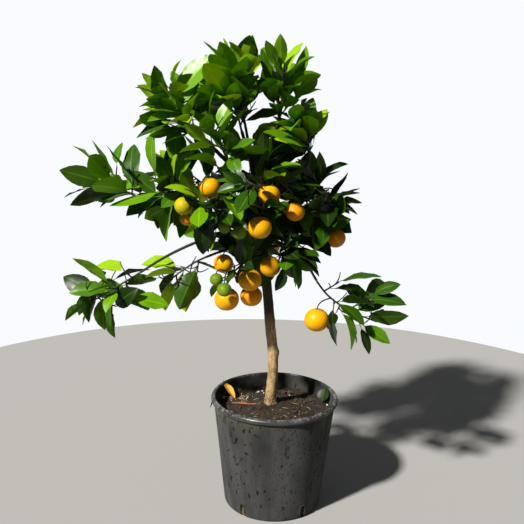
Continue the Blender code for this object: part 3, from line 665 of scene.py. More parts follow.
def arc(start, bend, end, steps):
    """Points along the curve that leaves start towards bend and comes to end from it."""
    t = np.linspace(0.0, 1.0, steps + 1)[:, None]
    return (1 - t) ** 2 * start + 2 * t * (1 - t) * bend + t * t * end


def smooth_route(points, steps):
    """Points of the smooth curve through a few chosen ones, radii included."""
    ends = [2 * points[0] - points[1], *points, 2 * points[-1] - points[-2]]
    route = [points[0]]
    for a, b, c, d in zip(ends, ends[1:], ends[2:], ends[3:]):
        for t in np.linspace(0.0, 1.0, steps + 1)[1:]:
            bent = (2 * a - 5 * b + 4 * c - d) * t**2 + (3 * b - a - 3 * c + d) * t**3
            route.append(0.5 * (2 * b + (c - a) * t + bent))
    return np.array(route)


def along(points, share):
    """The point at a share of a route's length, and the route's direction there."""
    steps = norm(np.diff(points, axis=0), axis=1)
    reach = np.concatenate([[0.0], np.cumsum(steps)])
    where = share * reach[-1]
    i = int(np.clip(np.searchsorted(reach, where, side="right") - 1, 0, len(steps) - 1))
    heading = unit(points[i + 1] - points[i])
    return points[i] + heading * (where - reach[i]), heading


def limb_routes():
    """Route and radii of the trunk and of each limb, by name."""
    points = [np.array([*point, radius]) for point, radius in TRUNK_ROUTE]
    rows = smooth_route(points, TRUNK_STEPS_PER_POINT)
    routes = {"trunk": (rows[:, :3], rows[:, 3])}
    for name, (parent, share, tip, rise, base_radius, tip_radius) in LIMBS.items():
        start, _ = along(routes[parent][0], share)
        tip = np.array(tip)
        bend = (start + tip) / 2 + rise * UP
        radii = np.linspace(base_radius, tip_radius, LIMB_STEPS + 1)
        routes[name] = (arc(start, bend, tip, LIMB_STEPS), radii)
    return routes


ROUTES = limb_routes()

# Bark
# Pale tan bark on the old stem, with shallow furrows, knots and leaf scars, turning brown and
# green on the younger limbs.
TRUNK_RING_SPACING = 0.0012
LIMB_RING_SPACING = 0.0030
COLLAR = 0.010
KNOTS = (
    (0.2490, 0.1, 0.0021, 0.0065),
    (0.1990, 3.6, 0.0009, 0.0050),
    (0.2240, 5.0, 0.0010, 0.0050),
    (0.2780, 2.6, 0.0011, 0.0060),
    (0.3010, 5.6, 0.0012, 0.0060),
    (0.3280, 0.9, 0.0012, 0.0060),
    (0.3550, 3.9, 0.0013, 0.0070),
    (0.3840, 5.2, 0.0012, 0.0060),
)


def finer(points, radii, spacing):
    """A route with many more points, smooth through the given ones."""
    rows = [np.array([*point, radius]) for point, radius in zip(points, radii)]
    steps = norm(np.diff(points, axis=0), axis=1)
    fine = smooth_route(rows, max(int(steps.mean() / spacing), 1))
    return fine[:, :3], fine[:, 3]


trunk_line, trunk_radii = finer(*ROUTES["trunk"], TRUNK_RING_SPACING)
bark_shape = bmesh.new()
bark_shape.from_mesh(tube_mesh("trunk_bark", [(trunk_line, trunk_radii)], 12))
bark_shape.normal_update()
trunk_face_count = len(bark_shape.faces)
for corner in bark_shape.verts:
    height = corner.co.z
    centre = trunk_line[int(np.argmin(np.abs(trunk_line[:, 2] - height)))]
    angle = math.atan2(corner.co.y - centre[1], corner.co.x - centre[0])
    ribs = noise.noise(Vector((corner.co.x * 190.0, corner.co.y * 190.0, height * 30.0)))
    pits = noise.noise(Vector((corner.co.x * 520.0, corner.co.y * 520.0, height * 300.0)))
    push = 0.00042 * ribs + 0.00020 * pits
    flare = max(0.0, 1.0 - (height - SOIL_CROWN_HEIGHT) / 0.022)
    push += 0.0009 * flare * flare * math.cos(4 * angle + 0.8)
    for knot_height, knot_angle, size, spread in KNOTS:
        off = abs((angle - knot_angle + math.pi) % math.tau - math.pi)
        push += size * math.exp(-(((height - knot_height) / spread) ** 2) - (off / 0.75) ** 2)
    if abs(corner.normal.z) < 0.8:
        corner.co += corner.normal * push
limb_rods = []
for name, (points, radii) in ROUTES.items():
    if name == "trunk":
        continue
    points, radii = finer(points, radii, LIMB_RING_SPACING)
    reach = np.concatenate([[0.0], np.cumsum(norm(np.diff(points, axis=0), axis=1))])
    collar = 1.0 + 0.45 * np.clip(1.0 - reach / COLLAR, 0.0, 1.0) ** 2
    limb_rods.append((points, radii * collar))
limb_shape = bmesh.new()
limb_shape.from_mesh(tube_mesh("limb_bark", limb_rods, 4))
limb_shape.normal_update()
for corner in limb_shape.verts:
    rough = noise.noise(corner.co * 260.0) + 0.6 * noise.noise(corner.co * 90.0)
    corner.co += corner.normal * 0.00022 * rough
bark_shape.from_mesh(mesh_of("limb_bark", limb_shape))
bark_shape.faces.ensure_lookup_table()
bark_shape.faces.index_update()


def old_bark():
    """Tan bark with darker furrows and flecks, with the upper stem painted dark brown as shade where the head
    shades it.
    """
    finish = Finish("old_bark", (0.23, 0.145, 0.060), 0.85)
    furrow = finish.grain(170.0, 4.0, 0.22)
    patch = finish.grain(40.0, 2.0, 0.7, 3.0)
    fleck = finish.grain(480.0, 2.0, 0.6, 9.0)
    finish.layer(furrow.between(0.36, 0.62), (0.55, 0.39, 0.185))
    finish.layer(patch.between(0.40, 0.62) * 0.5, (0.42, 0.28, 0.125))
    finish.layer(fleck.between(0.55, 0.67) * 0.7, (0.10, 0.055, 0.022))
    foot = 1.0 - finish.height().between(0.166, 0.190)
    finish.layer(foot * fleck.between(0.42, 0.56) * 0.8, (0.05, 0.032, 0.018))
    # Painted shade: above about 0.3 m the stem is painted dark brown, where the head's shadow falls on it.
    brown = finish.mix(patch.between(0.35, 0.65), (0.026, 0.017, 0.008), (0.046, 0.035, 0.016))
    finish.layer(finish.height().between(0.282, 0.318), brown)
    finish.set("Roughness", 0.74 + furrow * 0.2)
    finish.bump(furrow + fleck * 0.3, 0.0007, 0.8)
    return finish


def young_bark():
    """Smooth brown bark that is still green in places, with pale corky specks."""
    finish = Finish("young_bark", (0.014, 0.010, 0.006), 0.7)
    patch = finish.grain(55.0, 3.0)
    corky = finish.grain(420.0, 2.0, 1.0, 5.0)
    finish.layer(patch.between(0.38, 0.62), (0.014, 0.018, 0.006))
    finish.layer(corky.between(0.62, 0.72) * 0.4, (0.07, 0.055, 0.032))
    finish.bump(patch + corky * 0.4, 0.0005, 0.7)
    return finish


for face in bark_shape.faces:
    face.material_index = int(face.index >= trunk_face_count)
bark = piece("bark", bark_shape, [old_bark(), young_bark()], 60)
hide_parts(*ROUTES)

# Growth rule
# The head grows by the source's seeded rule: a stem carries on from each limb's tip, side shoots
# leave it all round, and leaves stand along them, each mass in its own space. A row of MASSES has
# the limb, the space's centre and radii, the shoots, the leaves' lift and spacing, and the seed.
FULL = 0.0098
OPEN = 0.0155
MASSES = {
    "mass_top": ("trunk", (-0.068, -0.008, 0.654), (0.066, 0.070, 0.066), 11, 1.2, FULL, 1),
    "mass_top_left": ("limb_top_left", (-0.152, -0.012, 0.614), (0.060, 0.070, 0.070), 11, 0.9, FULL, 3),
    "mass_top_right": ("limb_top_right", (-0.004, -0.012, 0.650), (0.058, 0.068, 0.068), 11, 1.2, FULL, 19),
    "mass_right_up": ("limb_right_up", (0.020, -0.016, 0.584), (0.050, 0.066, 0.076), 10, 1.1, FULL, 14),
    "mass_left": ("limb_left", (-0.150, -0.020, 0.502), (0.068, 0.070, 0.078), 12, 0.1, FULL, 9),
    "mass_left_high": ("limb_left_high", (-0.236, -0.034, 0.518), (0.080, 0.058, 0.070), 8, 0.0, OPEN, 20),
    "mass_front_left": ("limb_front_left", (-0.106, -0.080, 0.490), (0.064, 0.064, 0.072), 12, 0.1, FULL, 20),
    "mass_front": ("limb_front", (-0.028, -0.078, 0.514), (0.070, 0.066, 0.078), 12, 0.4, FULL, 1),
    "mass_middle": ("limb_middle", (-0.084, -0.052, 0.574), (0.060, 0.058, 0.052), 9, 0.6, FULL, 22),
    "mass_right": ("limb_right", (0.060, -0.006, 0.482), (0.062, 0.072, 0.078), 11, 0.2, FULL, 22),
    "mass_low_front": ("limb_low_front", (-0.062, -0.060, 0.392), (0.060, 0.060, 0.058), 9, -0.1, FULL, 6),
    "mass_low_right": ("limb_low_right", (0.008, -0.046, 0.416), (0.060, 0.060, 0.056), 11, -0.1, FULL, 13),
    "mass_low_back": ("limb_low_back", (-0.034, 0.062, 0.418), (0.085, 0.064, 0.056), 10, -0.1, FULL, 7),
    "mass_back": ("limb_back", (-0.034, 0.086, 0.540), (0.078, 0.066, 0.078), 11, 0.2, FULL, 2),
    "mass_back_left": ("limb_back_left", (-0.120, 0.066, 0.500), (0.080, 0.068, 0.080), 11, 0.1, FULL, 17),
    "mass_back_right": ("limb_back_right", (0.044, 0.072, 0.482), (0.068, 0.066, 0.078), 11, 0.1, FULL, 11),
    "mass_back_top": ("limb_back_top", (-0.064, 0.062, 0.630), (0.088, 0.064, 0.076), 9, 0.9, FULL, 1),
    "spray_left_low": ("limb_left_low", (-0.250, -0.054, 0.354), (0.082, 0.056, 0.066), 7, -0.1, OPEN, 12),
    "spray_left_inner": ("limb_left_inner", (-0.148, -0.056, 0.38), (0.058, 0.052, 0.056), 5, -0.2, OPEN, 15),
    "spray_right_low": ("limb_right_low", (0.122, -0.034, 0.330), (0.080, 0.056, 0.068), 6, 0.0, OPEN, 12),
}
RIPE, DEEP, TURNING, GREEN = range(4)
FRUIT = (
    ("mass_front", -0.028, -0.102, 0.465, 0.033, RIPE),
    ("mass_front", -0.016, -0.080, 0.507, 0.031, RIPE),
    ("mass_front", 0.021, -0.064, 0.481, 0.028, DEEP),
    ("mass_front", -0.056, -0.096, 0.456, 0.020, GREEN),
    ("mass_front_left", -0.098, -0.078, 0.515, 0.029, RIPE),
    ("mass_front_left", -0.136, -0.062, 0.486, 0.027, TURNING),
    ("mass_front_left", -0.077, -0.088, 0.462, 0.019, GREEN),
    ("mass_left", -0.134, -0.026, 0.462, 0.024, DEEP),
    ("mass_right", 0.084, -0.012, 0.434, 0.031, DEEP),
    ("mass_low_front", -0.074, -0.060, 0.350, 0.036, RIPE),
    ("mass_low_front", -0.041, -0.062, 0.380, 0.034, RIPE),
    ("mass_low_front", -0.079, -0.064, 0.404, 0.029, RIPE),
    ("mass_low_front", -0.039, -0.034, 0.348, 0.033, DEEP),
    ("mass_low_front", -0.088, -0.082, 0.385, 0.019, GREEN),
    ("mass_low_front", -0.076, -0.096, 0.374, 0.021, GREEN),
    ("mass_low_right", -0.012, -0.052, 0.398, 0.031, RIPE),
    ("spray_right_low", 0.059, -0.040, 0.315, 0.037, RIPE),
    ("mass_low_back", -0.012, 0.090, 0.398, 0.034, RIPE),
    ("mass_low_back", -0.062, 0.078, 0.404, 0.031, DEEP),
    ("mass_back_right", 0.048, 0.104, 0.448, 0.033, RIPE),
    ("mass_back_left", -0.124, 0.098, 0.452, 0.033, RIPE),
    ("mass_back", -0.048, 0.130, 0.500, 0.022, GREEN),
    ("mass_back_right", 0.086, 0.052, 0.478, 0.028, TURNING),
)
SIGHT_FROM = (-0.024, -1.176, 0.675)
WINDOWS = (
    (-0.0294, 0.6254, 0.0080),
    (-0.0532, 0.5851, 0.0140),
    (-0.0862, 0.5433, 0.0075),
    (-0.0474, 0.5340, 0.0080),
    (-0.1211, 0.5211, 0.0085),
    (0.0709, 0.5122, 0.0085),
)
WINDOW_FROM = 0.85
WINDOW_TO = 1.15
SHOWN_FOR = 0.060
SHOWN_SHARE = 0.75
GOLDEN_ANGLE = math.radians(137.5)
LEAF_LENGTH = 0.065
LEAF_SIZES = (0.84, 1.16)
LEAF_PITCHES = (38, 62)
TIP_PITCH = 0.15
LEAF_WIDTH = 0.50
LEAF_FIRST = 0.009
LEAF_THICKNESS = 0.0011
LEAF_WIDEST = 0.46
LEAF_SUNK = 0.0005
STEM_PAST_CENTRE = 0.42
STEM_TIP_RADIUS = 0.0018
STEM_STEPS = 4
STEM_COLLAR = 0.004
SHOOT_RADIUS = 0.0018
SHOOT_TIP_RADIUS = 0.0014
SHOOT_LONGEST = 0.060
SHOOT_SHORTEST = 0.016
SHOOT_SIZES = (0.85, 1.0)
SHOOT_STEPS = 1
STALK_RADIUS = 0.0013
STALK_STEPS = 8
EDGE_MARGIN = 0.0006
CLEARANCE = 0.0022
FRUIT_CLEARANCE = 0.0010
TWIG_CLEARANCE = 0.0006
STALK_INTO_FRUIT = 0.08
SHOOT_TURNS = (0.0, 0.8, -0.8, 1.6, -1.6)
LEAF_TURNS = (0.0, 0.9, -0.9, 1.8, -1.8, 2.7, -2.7)
LEAF_PARTS = (1.0, 0.88, 0.77, 0.67)
BLADE_FACES = ((0, 2, 1), (0, 3, 2), (0, 1, 3), (1, 2, 4), (2, 3, 4), (3, 1, 4))

# What the rods belong to: a twig's owner is its mass's number times TWIGS_EACH, and its own number
NOBODY, WOODY, BALL, OPEN_LINE = -1, -2, -3, -4
TWIGS_EACH = 100
FINE_FROM = 40

MASS_NAMES = list(MASSES)
CARRIERS, CENTRES, RADII, SHOOT_COUNTS, LIFTS, SPACINGS, SEEDS = zip(*MASSES.values())
CENTRES, RADII = np.array(CENTRES), np.array(RADII)


class Obstacles:
    """Tapering rods that leaves and twigs keep clear of. A fruit is a rod of no length."""

    def __init__(self):
        self.rods = []
        self.owners = []
        self.table = None

    def add(self, owner, points, radii, clearance):
        """Adds a limb or twig, rod by rod."""
        for a, b, ra, rb in zip(points, points[1:], radii, radii[1:]):
            self.rods.append((*a, *b, ra + clearance, rb + clearance))
            self.owners.append(owner)
        self.table = None

    def clear(self, points, spare):
        """Whether all the points keep clear of every rod that isn't the spared owner's."""
        if self.table is None:
            self.table = np.array(self.rods), np.array(self.owners)
        rods, owners = self.table
        middle = (rods[:, :3] + rods[:, 3:6]) / 2
        reach = norm(rods[:, 3:6] - rods[:, :3], axis=1) / 2 + rods[:, 6:].max(axis=1)
        centre = points.mean(axis=0)
        size = norm(points - centre, axis=1).max()
        near = (norm(middle - centre, axis=1) < reach + size) & (owners != spare)
        if not near.any():
            return True
        a, b, ra, rb = rods[near, :3], rods[near, 3:6], rods[near, 6], rods[near, 7]
        run = b - a
        square = np.maximum((run * run).sum(axis=1), 1e-12)
        t = np.clip(((points[:, None] - a) * run).sum(axis=2) / square, 0.0, 1.0)
        gap = norm(points[:, None] - a - t[..., None] * run, axis=2) - ra - t * (rb - ra)
        return bool(gap.min() > 0)


def in_own_space(points, k):
    """Whether all the points lie in the share of the head that belongs to mass k."""
    offset = (points[None] - CENTRES[:, None]) / RADII[:, None]
    share = norm(offset, axis=2)
    slope = norm(offset / RADII[:, None], axis=2) / np.maximum(share, 1e-6)
    spare = share - share[k] - EDGE_MARGIN * (slope + slope[k])
    spare[k] = 1.0 - share[k]
    return bool((spare > 0).all())


def in_head(points, _):
    """Whether all the points lie in some mass's space. Leaves of the finer twigs may share one."""
    share = norm((points[None] - CENTRES[:, None]) / RADII[:, None], axis=2)
    return bool((share.min(axis=0) < 1.0).all())


def room_ahead(point, heading, k):
    """How far the edge of a mass's space is from a point, along a heading."""
    a, b = heading / RADII[k], (point - CENTRES[k]) / RADII[k]
    aa, ab, bb = float(a @ a), float(a @ b), float(b @ b)
    return (-ab + math.sqrt(max(ab * ab - aa * (bb - 1), 0.0))) / aa


def stem_of(k):
    """The main twig of a mass: it carries on from its limb's tip through the middle of the space."""
    route, radii = ROUTES[CARRIERS[k]]
    heading = unit(route[-1] - route[-2])
    start = route[-1] + heading * GAP
    end = CENTRES[k] + STEM_PAST_CENTRE * (CENTRES[k] - start)
    collar = start + heading * STEM_COLLAR
    bend = start + heading * 0.4 * norm(end - start)
    return np.vstack([start, arc(collar, bend, end, STEM_STEPS)]), radii[-1]


def shoot_from(k, point, heading, side, rng):
    """A side shoot: the first of a few turns of it that keeps to its space and clear of limbs."""
    size = rng.uniform(*SHOOT_SIZES)
    for turn in SHOOT_TURNS:
        way = turned(side, heading, turn)
        outward = unit(way + 0.5 * heading + LIFTS[k] * UP + 0.5 * (point - CENTRES[k]) / RADII[k])
        room = room_ahead(point, outward, k) - 0.6 * LEAF_LENGTH
        for part in (1.0, 0.75, 0.5):
            length = size * part * min(max(room, SHOOT_SHORTEST), SHOOT_LONGEST)
            bend = point + unit(way + 0.8 * heading) * 0.5 * length
            points = arc(point, bend, point + outward * length, SHOOT_STEPS)
            tested = np.array([along(points, share)[0] for share in np.linspace(0.2, 1.0, 9)])
            if in_own_space(tested, k) and SOLIDS.clear(tested, k):
                return points
    return None


def shoots_of(k, stem):
    """The side shoots of a mass, each a short curve that leaves the stem in its own direction."""
    shoots = []
    for i in range(SHOOT_COUNTS[k]):
        rng = random.Random(SEEDS[k] * 1009 + i)
        point, heading = along(stem, 0.08 + 0.84 * (i + rng.uniform(0.2, 0.8)) / SHOOT_COUNTS[k])
        start = square_to(np.array([0.31, 0.22, 0.92]), heading)
        side = turned(start, heading, i * GOLDEN_ANGLE + SEEDS[k])
        points = shoot_from(k, point, heading, side, rng)
        if points is not None:
            shoots.append(points)
    return shoots


def stalk_of(fruit, twigs):
    """A thin twig that leaves the nearest higher twig of its mass and ends in the fruit's top."""
    x, y, z, diameter = fruit[1:5]
    top = np.array([x, y, z + (0.5 - STALK_INTO_FRUIT) * diameter])
    places = [along(points, share)[0] for points in twigs for share in np.linspace(0.05, 0.95, 12)]
    cost = [norm(place - top) + 1.5 * max(top[2] + 0.006 - place[2], 0.0) for place in places]
    place = places[int(np.argmin(cost))]
    rise = 0.006 + 0.30 * norm(place - top)
    return arc(place, top + rise * UP, top, STALK_STEPS)


def flat_blade(root, pointing, face, length, width):
    """Corners of the source's plain leaf: its root, its widest section and its tip."""
    across = np.cross(face, pointing)
    widest = root + pointing * LEAF_WIDEST * length + face * 0.03 * length
    keel = widest - face * (LEAF_THICKNESS + 0.02 * length)
    sides = [widest + across * width / 2, widest - across * width / 2, keel]
    return [root - pointing * LEAF_SUNK, *sides, root + pointing * length - face * 0.03 * length]


def blade_points(corners):
    """Points spread over a leaf, close enough together to find anything that it would touch."""
    root, side_a, side_b, keel, tip = corners
    across = [side_a + (side_b - side_a) * u for u in np.linspace(0.0, 1.0, 5)]
    grid = [root + (point - root) * t for t in np.linspace(0.2, 1.0, 5) for point in across]
    grid += [point + (tip - point) * t for t in np.linspace(0.2, 1.0, 5) for point in across[::2]]
    return np.array([*grid, keel])


def leaves_along(k, points, seed, first, owner, grown, space, sizes):
    """Leaves set alternately round a twig, and one at its tip, that keep to a space."""
    reach = float(norm(np.diff(points, axis=0), axis=1).sum())
    count = max(int((reach - first) / SPACINGS[k]), 0)
    leaves = []
    for j in range(count, -1, -1):
        rng = random.Random(seed * 7919 + j)
        at_tip = j == count
        share = 1.0 if at_tip else min((first + j * SPACINGS[k]) / reach, 1.0)
        root, axis = along(points, share)
        full = LEAF_LENGTH * rng.uniform(*LEAF_SIZES)
        pitch = TIP_PITCH if at_tip else math.radians(rng.uniform(*LEAF_PITCHES)) * (1.15 - 0.35 * share)
        wobble = np.array([rng.uniform(-1, 1) for _ in range(3)])
        start = square_to(np.array([0.6, 0.5, 0.62]), axis)
        for part, turn in itertools.product(sizes, LEAF_TURNS):
            side = turned(start, axis, j * GOLDEN_ANGLE + seed + turn)
            pointing = unit(math.cos(pitch) * axis + math.sin(pitch) * side + 0.25 * LIFTS[k] * UP)
            face = square_to(0.55 * axis + 0.75 * UP - 0.2 * side + 0.45 * wobble, pointing)
            length = full * part
            corners = flat_blade(root, pointing, face, length, length * LEAF_WIDTH)
            grid = blade_points(corners)
            if not space(grid, k) or not SOLIDS.clear(grid, NOBODY) or not WOOD.clear(grid, owner):
                continue
            shape = BVHTree.FromPolygons([Vector(point) for point in corners], BLADE_FACES)
            middle = (corners[0] + corners[4]) / 2
            near = [tree for spot, tree in grown if norm(middle - spot) < LEAF_LENGTH]
            if any(shape.overlap(tree) for tree in near):
                continue
            grown.append((middle, shape))
            leaves.append((root, pointing, face, length, owner))
            break
    return leaves


SOLIDS = Obstacles()
WOOD = Obstacles()
eye = np.array(SIGHT_FROM)
for route, radii in ROUTES.values():
    SOLIDS.add(WOODY, route, radii, CLEARANCE)
for _, x, y, z, diameter, _ in FRUIT:
    centre, radius = np.array([x, y, z]), diameter / 2
    SOLIDS.add(BALL, (centre, centre), (radius, radius), FRUIT_CLEARANCE)
    if y < 0.0:
        before = centre + unit(eye - centre) * SHOWN_FOR
        SOLIDS.add(OPEN_LINE, (centre, before), [SHOWN_SHARE * radius] * 2, 0.0)
for x, z, radius in WINDOWS:
    sight = np.array([x, 0.0, z]) - eye
    ends = (eye + WINDOW_FROM * sight, eye + WINDOW_TO * sight)
    SOLIDS.add(OPEN_LINE, ends, (WINDOW_FROM * radius, WINDOW_TO * radius), 0.0)

# Twigs
# Green and brown twigs of pencil-lead thickness. Each shoot of the source carries two finer ones
# here, or one in the airy masses. Their leaves also keep out of the sun's way to the fruit.
FINE_SHOOTS = ((0.35, 0.7), (0.68, -0.5))
FINE_LENGTHS = (0.016, 0.030)
FINE_STEPS = 4
FINE_RADIUS = 0.0011
FINE_TIP_RADIUS = 0.0007
FINE_CLEARANCE = 0.0004
FINE_FIRST_LEAF = 0.006
SUNLIT_FOR = 0.16
FINE_LEAF_PARTS = (1.0, 0.88, 0.77)
AIRY = ("mass_top", "mass_top_left", "mass_top_right", "mass_right_up", "mass_back_top", "mass_left_high")

grown_wood = []
for k, name in enumerate(MASS_NAMES):
    stem, radius = stem_of(k)
    shoots = shoots_of(k, stem)
    stalks = [stalk_of(one, [stem, *shoots]) for one in FRUIT if one[0] == name]
    twigs = [(stem, radius, STEM_TIP_RADIUS)]
    twigs += [(points, SHOOT_RADIUS, SHOOT_TIP_RADIUS) for points in shoots]
    twigs += [(points, STALK_RADIUS, STALK_RADIUS) for points in stalks]
    grown_wood.append((twigs, len(shoots)))
    for i, (points, radius, tip_radius) in enumerate(twigs):
        radii = np.linspace(radius, tip_radius, len(points))
        WOOD.add(k * TWIGS_EACH + i, points, radii, TWIG_CLEARANCE)

leaves = []
all_grown = []
for k, (twigs, shoot_count) in enumerate(grown_wood):
    grown = []
    for i in range(shoot_count, -1, -1):
        points = twigs[i][0]
        first = LEAF_FIRST if i else 0.4 * float(norm(points[-1] - points[0]))
        owner = k * TWIGS_EACH + i
        leaves += leaves_along(k, points, SEEDS[k] * 31 + i, first, owner, grown, in_own_space, LEAF_PARTS)
    all_grown += grown
coarse_count = len(leaves)

for _, x, y, z, diameter, _ in FRUIT:
    centre = np.array([x, y, z])
    lit = centre + np.array(SUN_WAY.normalized()) * SUNLIT_FOR
    SOLIDS.add(OPEN_LINE, (centre, lit), [SHOWN_SHARE * diameter / 2] * 2, 0.0)
fine_twigs = []
for k, (twigs, shoot_count) in enumerate(grown_wood):
    airy = MASS_NAMES[k] in AIRY
    for i in range(1, shoot_count + 1):
        for j, (share, lean) in enumerate(FINE_SHOOTS[:1] if airy else FINE_SHOOTS):
            rng = random.Random(SEEDS[k] * 4421 + i * 17 + j)
            start, heading = along(twigs[i][0], share)
            side = square_to(np.array([0.2, 0.5, 0.84]), heading)
            side = turned(side, heading, (2 * i + j) * GOLDEN_ANGLE)
            length = rng.uniform(*FINE_LENGTHS)
            end = start + unit(side + (0.5 + 0.3 * lean) * heading + 0.25 * UP) * length
            fine = arc(start, start + heading * 0.4 * length + side * 0.2 * length, end, FINE_STEPS)
            if in_head(fine[1:], k) and SOLIDS.clear(fine[2:], NOBODY):
                fine_twigs.append((k, i * 2 + j, fine))
fine_radii = np.linspace(FINE_RADIUS, FINE_TIP_RADIUS, FINE_STEPS + 1)
for k, i, fine in fine_twigs:
    WOOD.add(k * TWIGS_EACH + FINE_FROM + i, fine, fine_radii, FINE_CLEARANCE)
for k, i, fine in fine_twigs:
    owner = k * TWIGS_EACH + FINE_FROM + i
    sizes = FINE_LEAF_PARTS[:1] if MASS_NAMES[k] in AIRY else FINE_LEAF_PARTS
    leaves += leaves_along(k, fine, SEEDS[k] * 57 + i, FINE_FIRST_LEAF, owner, all_grown, in_head, sizes)
print(f"{coarse_count} leaves of the source's rule, {len(leaves)} in all, {len(fine_twigs)} finer twigs")

rods = []
for twigs, shoot_count in grown_wood:
    for i, (points, radius, tip_radius) in enumerate(twigs):
        slim = 0.72 if 0 < i <= shoot_count else 0.9
        radii = np.linspace(radius * slim, tip_radius * 0.6, len(points))
        if len(points) > 2:
            points, radii = finer(points, radii, 0.003)
        rods.append((points, radii))
rods += [(fine, fine_radii) for _, _, fine in fine_twigs]


def twig_finish():
    """Smooth green bark with brown patches and pale corky streaks."""
    finish = Finish("twig_bark", (0.018, 0.040, 0.007), 0.6)
    patch = finish.grain(60.0, 3.0)
    streak = finish.grain(380.0, 2.0, 0.5, 3.0)
    finish.layer(patch.between(0.40, 0.60), (0.024, 0.018, 0.009))
    finish.layer(streak.between(0.58, 0.70) * 0.4, (0.07, 0.06, 0.03))
    finish.bump(streak, 0.0003, 0.6)
    return finish


piece("twigs", tube_mesh("twigs", rods, 1), [twig_finish()], 70)

# Leaves
# Leathery citrus leaves: a short stalk, a pointed oval blade folded a little along a pale rib,
# glossy dark green above and paler and duller below. Each spray takes its tint at random, with
# shares dealt by mass as painted light: the sunlit top masses take brighter tints and the shaded
# front, right and low masses darker ones.
PETIOLE = 0.11
ROWS = (0.0, 0.06, 0.12, 0.22, 0.36, 0.52, 0.68, 0.82, 0.93, 1.0)
RIB = 0.055
TOP_COLUMNS = (-1.0, -0.52, -RIB, RIB, 0.52, 1.0)
UNDER_COLUMNS = (-1.0, -RIB, RIB, 1.0)
BLADE_THICKNESS = 0.0004
STALK_HALF_WIDTH = 0.045
LEAF_REAR = 0.35
LEAF_STRETCH = 1.06
YOUNG_LEAF_STRETCH = 1.18
TOP, UNDER, RIB_SIDE = range(3)


def half_width(u):
    """Half of the blade's width at a share of its length, as a share of the half width at most."""
    if u <= PETIOLE + 0.011:
        return STALK_HALF_WIDTH
    v = (u - PETIOLE) / (1.0 - PETIOLE)
    return max((4.0 * v ** 0.90 * (1.0 - v ** 0.90)) ** 0.95, 0.012)


def leaf_pattern():
    """Points of the flat leaf as place across, along and up, its faces, and what each face is."""
    shape = bmesh.new()
    for columns, lift, kind in ((TOP_COLUMNS, 1.0, TOP), (UNDER_COLUMNS, -1.0, UNDER)):
        across, rows = len(columns) - 1, len(ROWS) - 1
        made = bmesh.ops.create_grid(shape, x_segments=across, y_segments=rows, size=0.5)
        faces = {face for corner in made["verts"] for face in corner.link_faces}
        for face in faces:
            middle = face.calc_center_median()
            face.material_index = RIB_SIDE if abs(middle.x) < 0.5 / across else kind
        for corner in made["verts"]:
            i = round((corner.co.x + 0.5) * across)
            j = round((corner.co.y + 0.5) * rows)
            raised = lift * BLADE_THICKNESS / 2 * (abs(columns[i]) < 1.0) * (0 < j < rows)
            if 0 < j <= 2:
                raised *= 2.0
            corner.co = Vector((columns[i] * half_width(ROWS[j]), ROWS[j], raised))
    close_up(shape)
    kinds = [face.material_index for face in shape.faces]
    points, faces = pattern_of(shape)
    return points, faces, kinds


def leaf_finish(name, colour, roughness, specular, glow, glow_share):
    """A leaf's skin, a little uneven: its colour, some gloss, and some light that comes through it."""
    finish = Finish(name, colour, roughness)
    finish.set("Specular IOR Level", specular)
    finish.bump(finish.grain(55.0, 0.0), 0.0020)
    output = finish.tree.nodes["Material Output"]
    through = finish.node("BsdfTranslucent", {}, {"Color": glow})
    values = {0: glow_share, 1: Signal(finish, finish.shader.outputs[0]), 2: through}
    finish.put(output.inputs["Surface"], finish.node("MixShader", {}, values))
    return finish


# Each tint's upper side, underside, rib, and the light that comes through it, from the darkest
# tint, old, to the brightest. The darker ones serve as painted shade and the brighter ones as
# painted sunlight where they are dealt by mass below.
TINTS = (
    ("old", (0.010, 0.034, 0.002), (0.030, 0.060, 0.008), (0.050, 0.100, 0.008), (0.05, 0.14, 0.003)),
    ("deep", (0.026, 0.088, 0.001), (0.045, 0.115, 0.005), (0.090, 0.200, 0.006), (0.16, 0.38, 0.003)),
    ("mid", (0.064, 0.190, 0.001), (0.080, 0.190, 0.005), (0.150, 0.320, 0.008), (0.30, 0.64, 0.004)),
    ("fresh", (0.140, 0.330, 0.002), (0.145, 0.300, 0.007), (0.270, 0.460, 0.012), (0.52, 0.90, 0.008)),
    ("bright", (0.290, 0.520, 0.005), (0.290, 0.480, 0.012), (0.420, 0.620, 0.025), (0.85, 1.00, 0.020)),
)
GLOSS = 0.36
GLOSS_SPECULAR = 0.42
UNDER_SPECULAR = 0.15
TOP_GLOW = 0.22
UNDER_GLOW = 0.30

leaf_finishes = []
for tint, top, under, rib, glow in TINTS:
    leaf_finishes.append(leaf_finish(f"leaf_{tint}_top", top, GLOSS, GLOSS_SPECULAR, glow, TOP_GLOW))
    leaf_finishes.append(leaf_finish(f"leaf_{tint}_under", under, 0.60, UNDER_SPECULAR, glow, UNDER_GLOW))
    leaf_finishes.append(leaf_finish(f"leaf_{tint}_rib", rib, 0.45, GLOSS_SPECULAR, glow, TOP_GLOW))


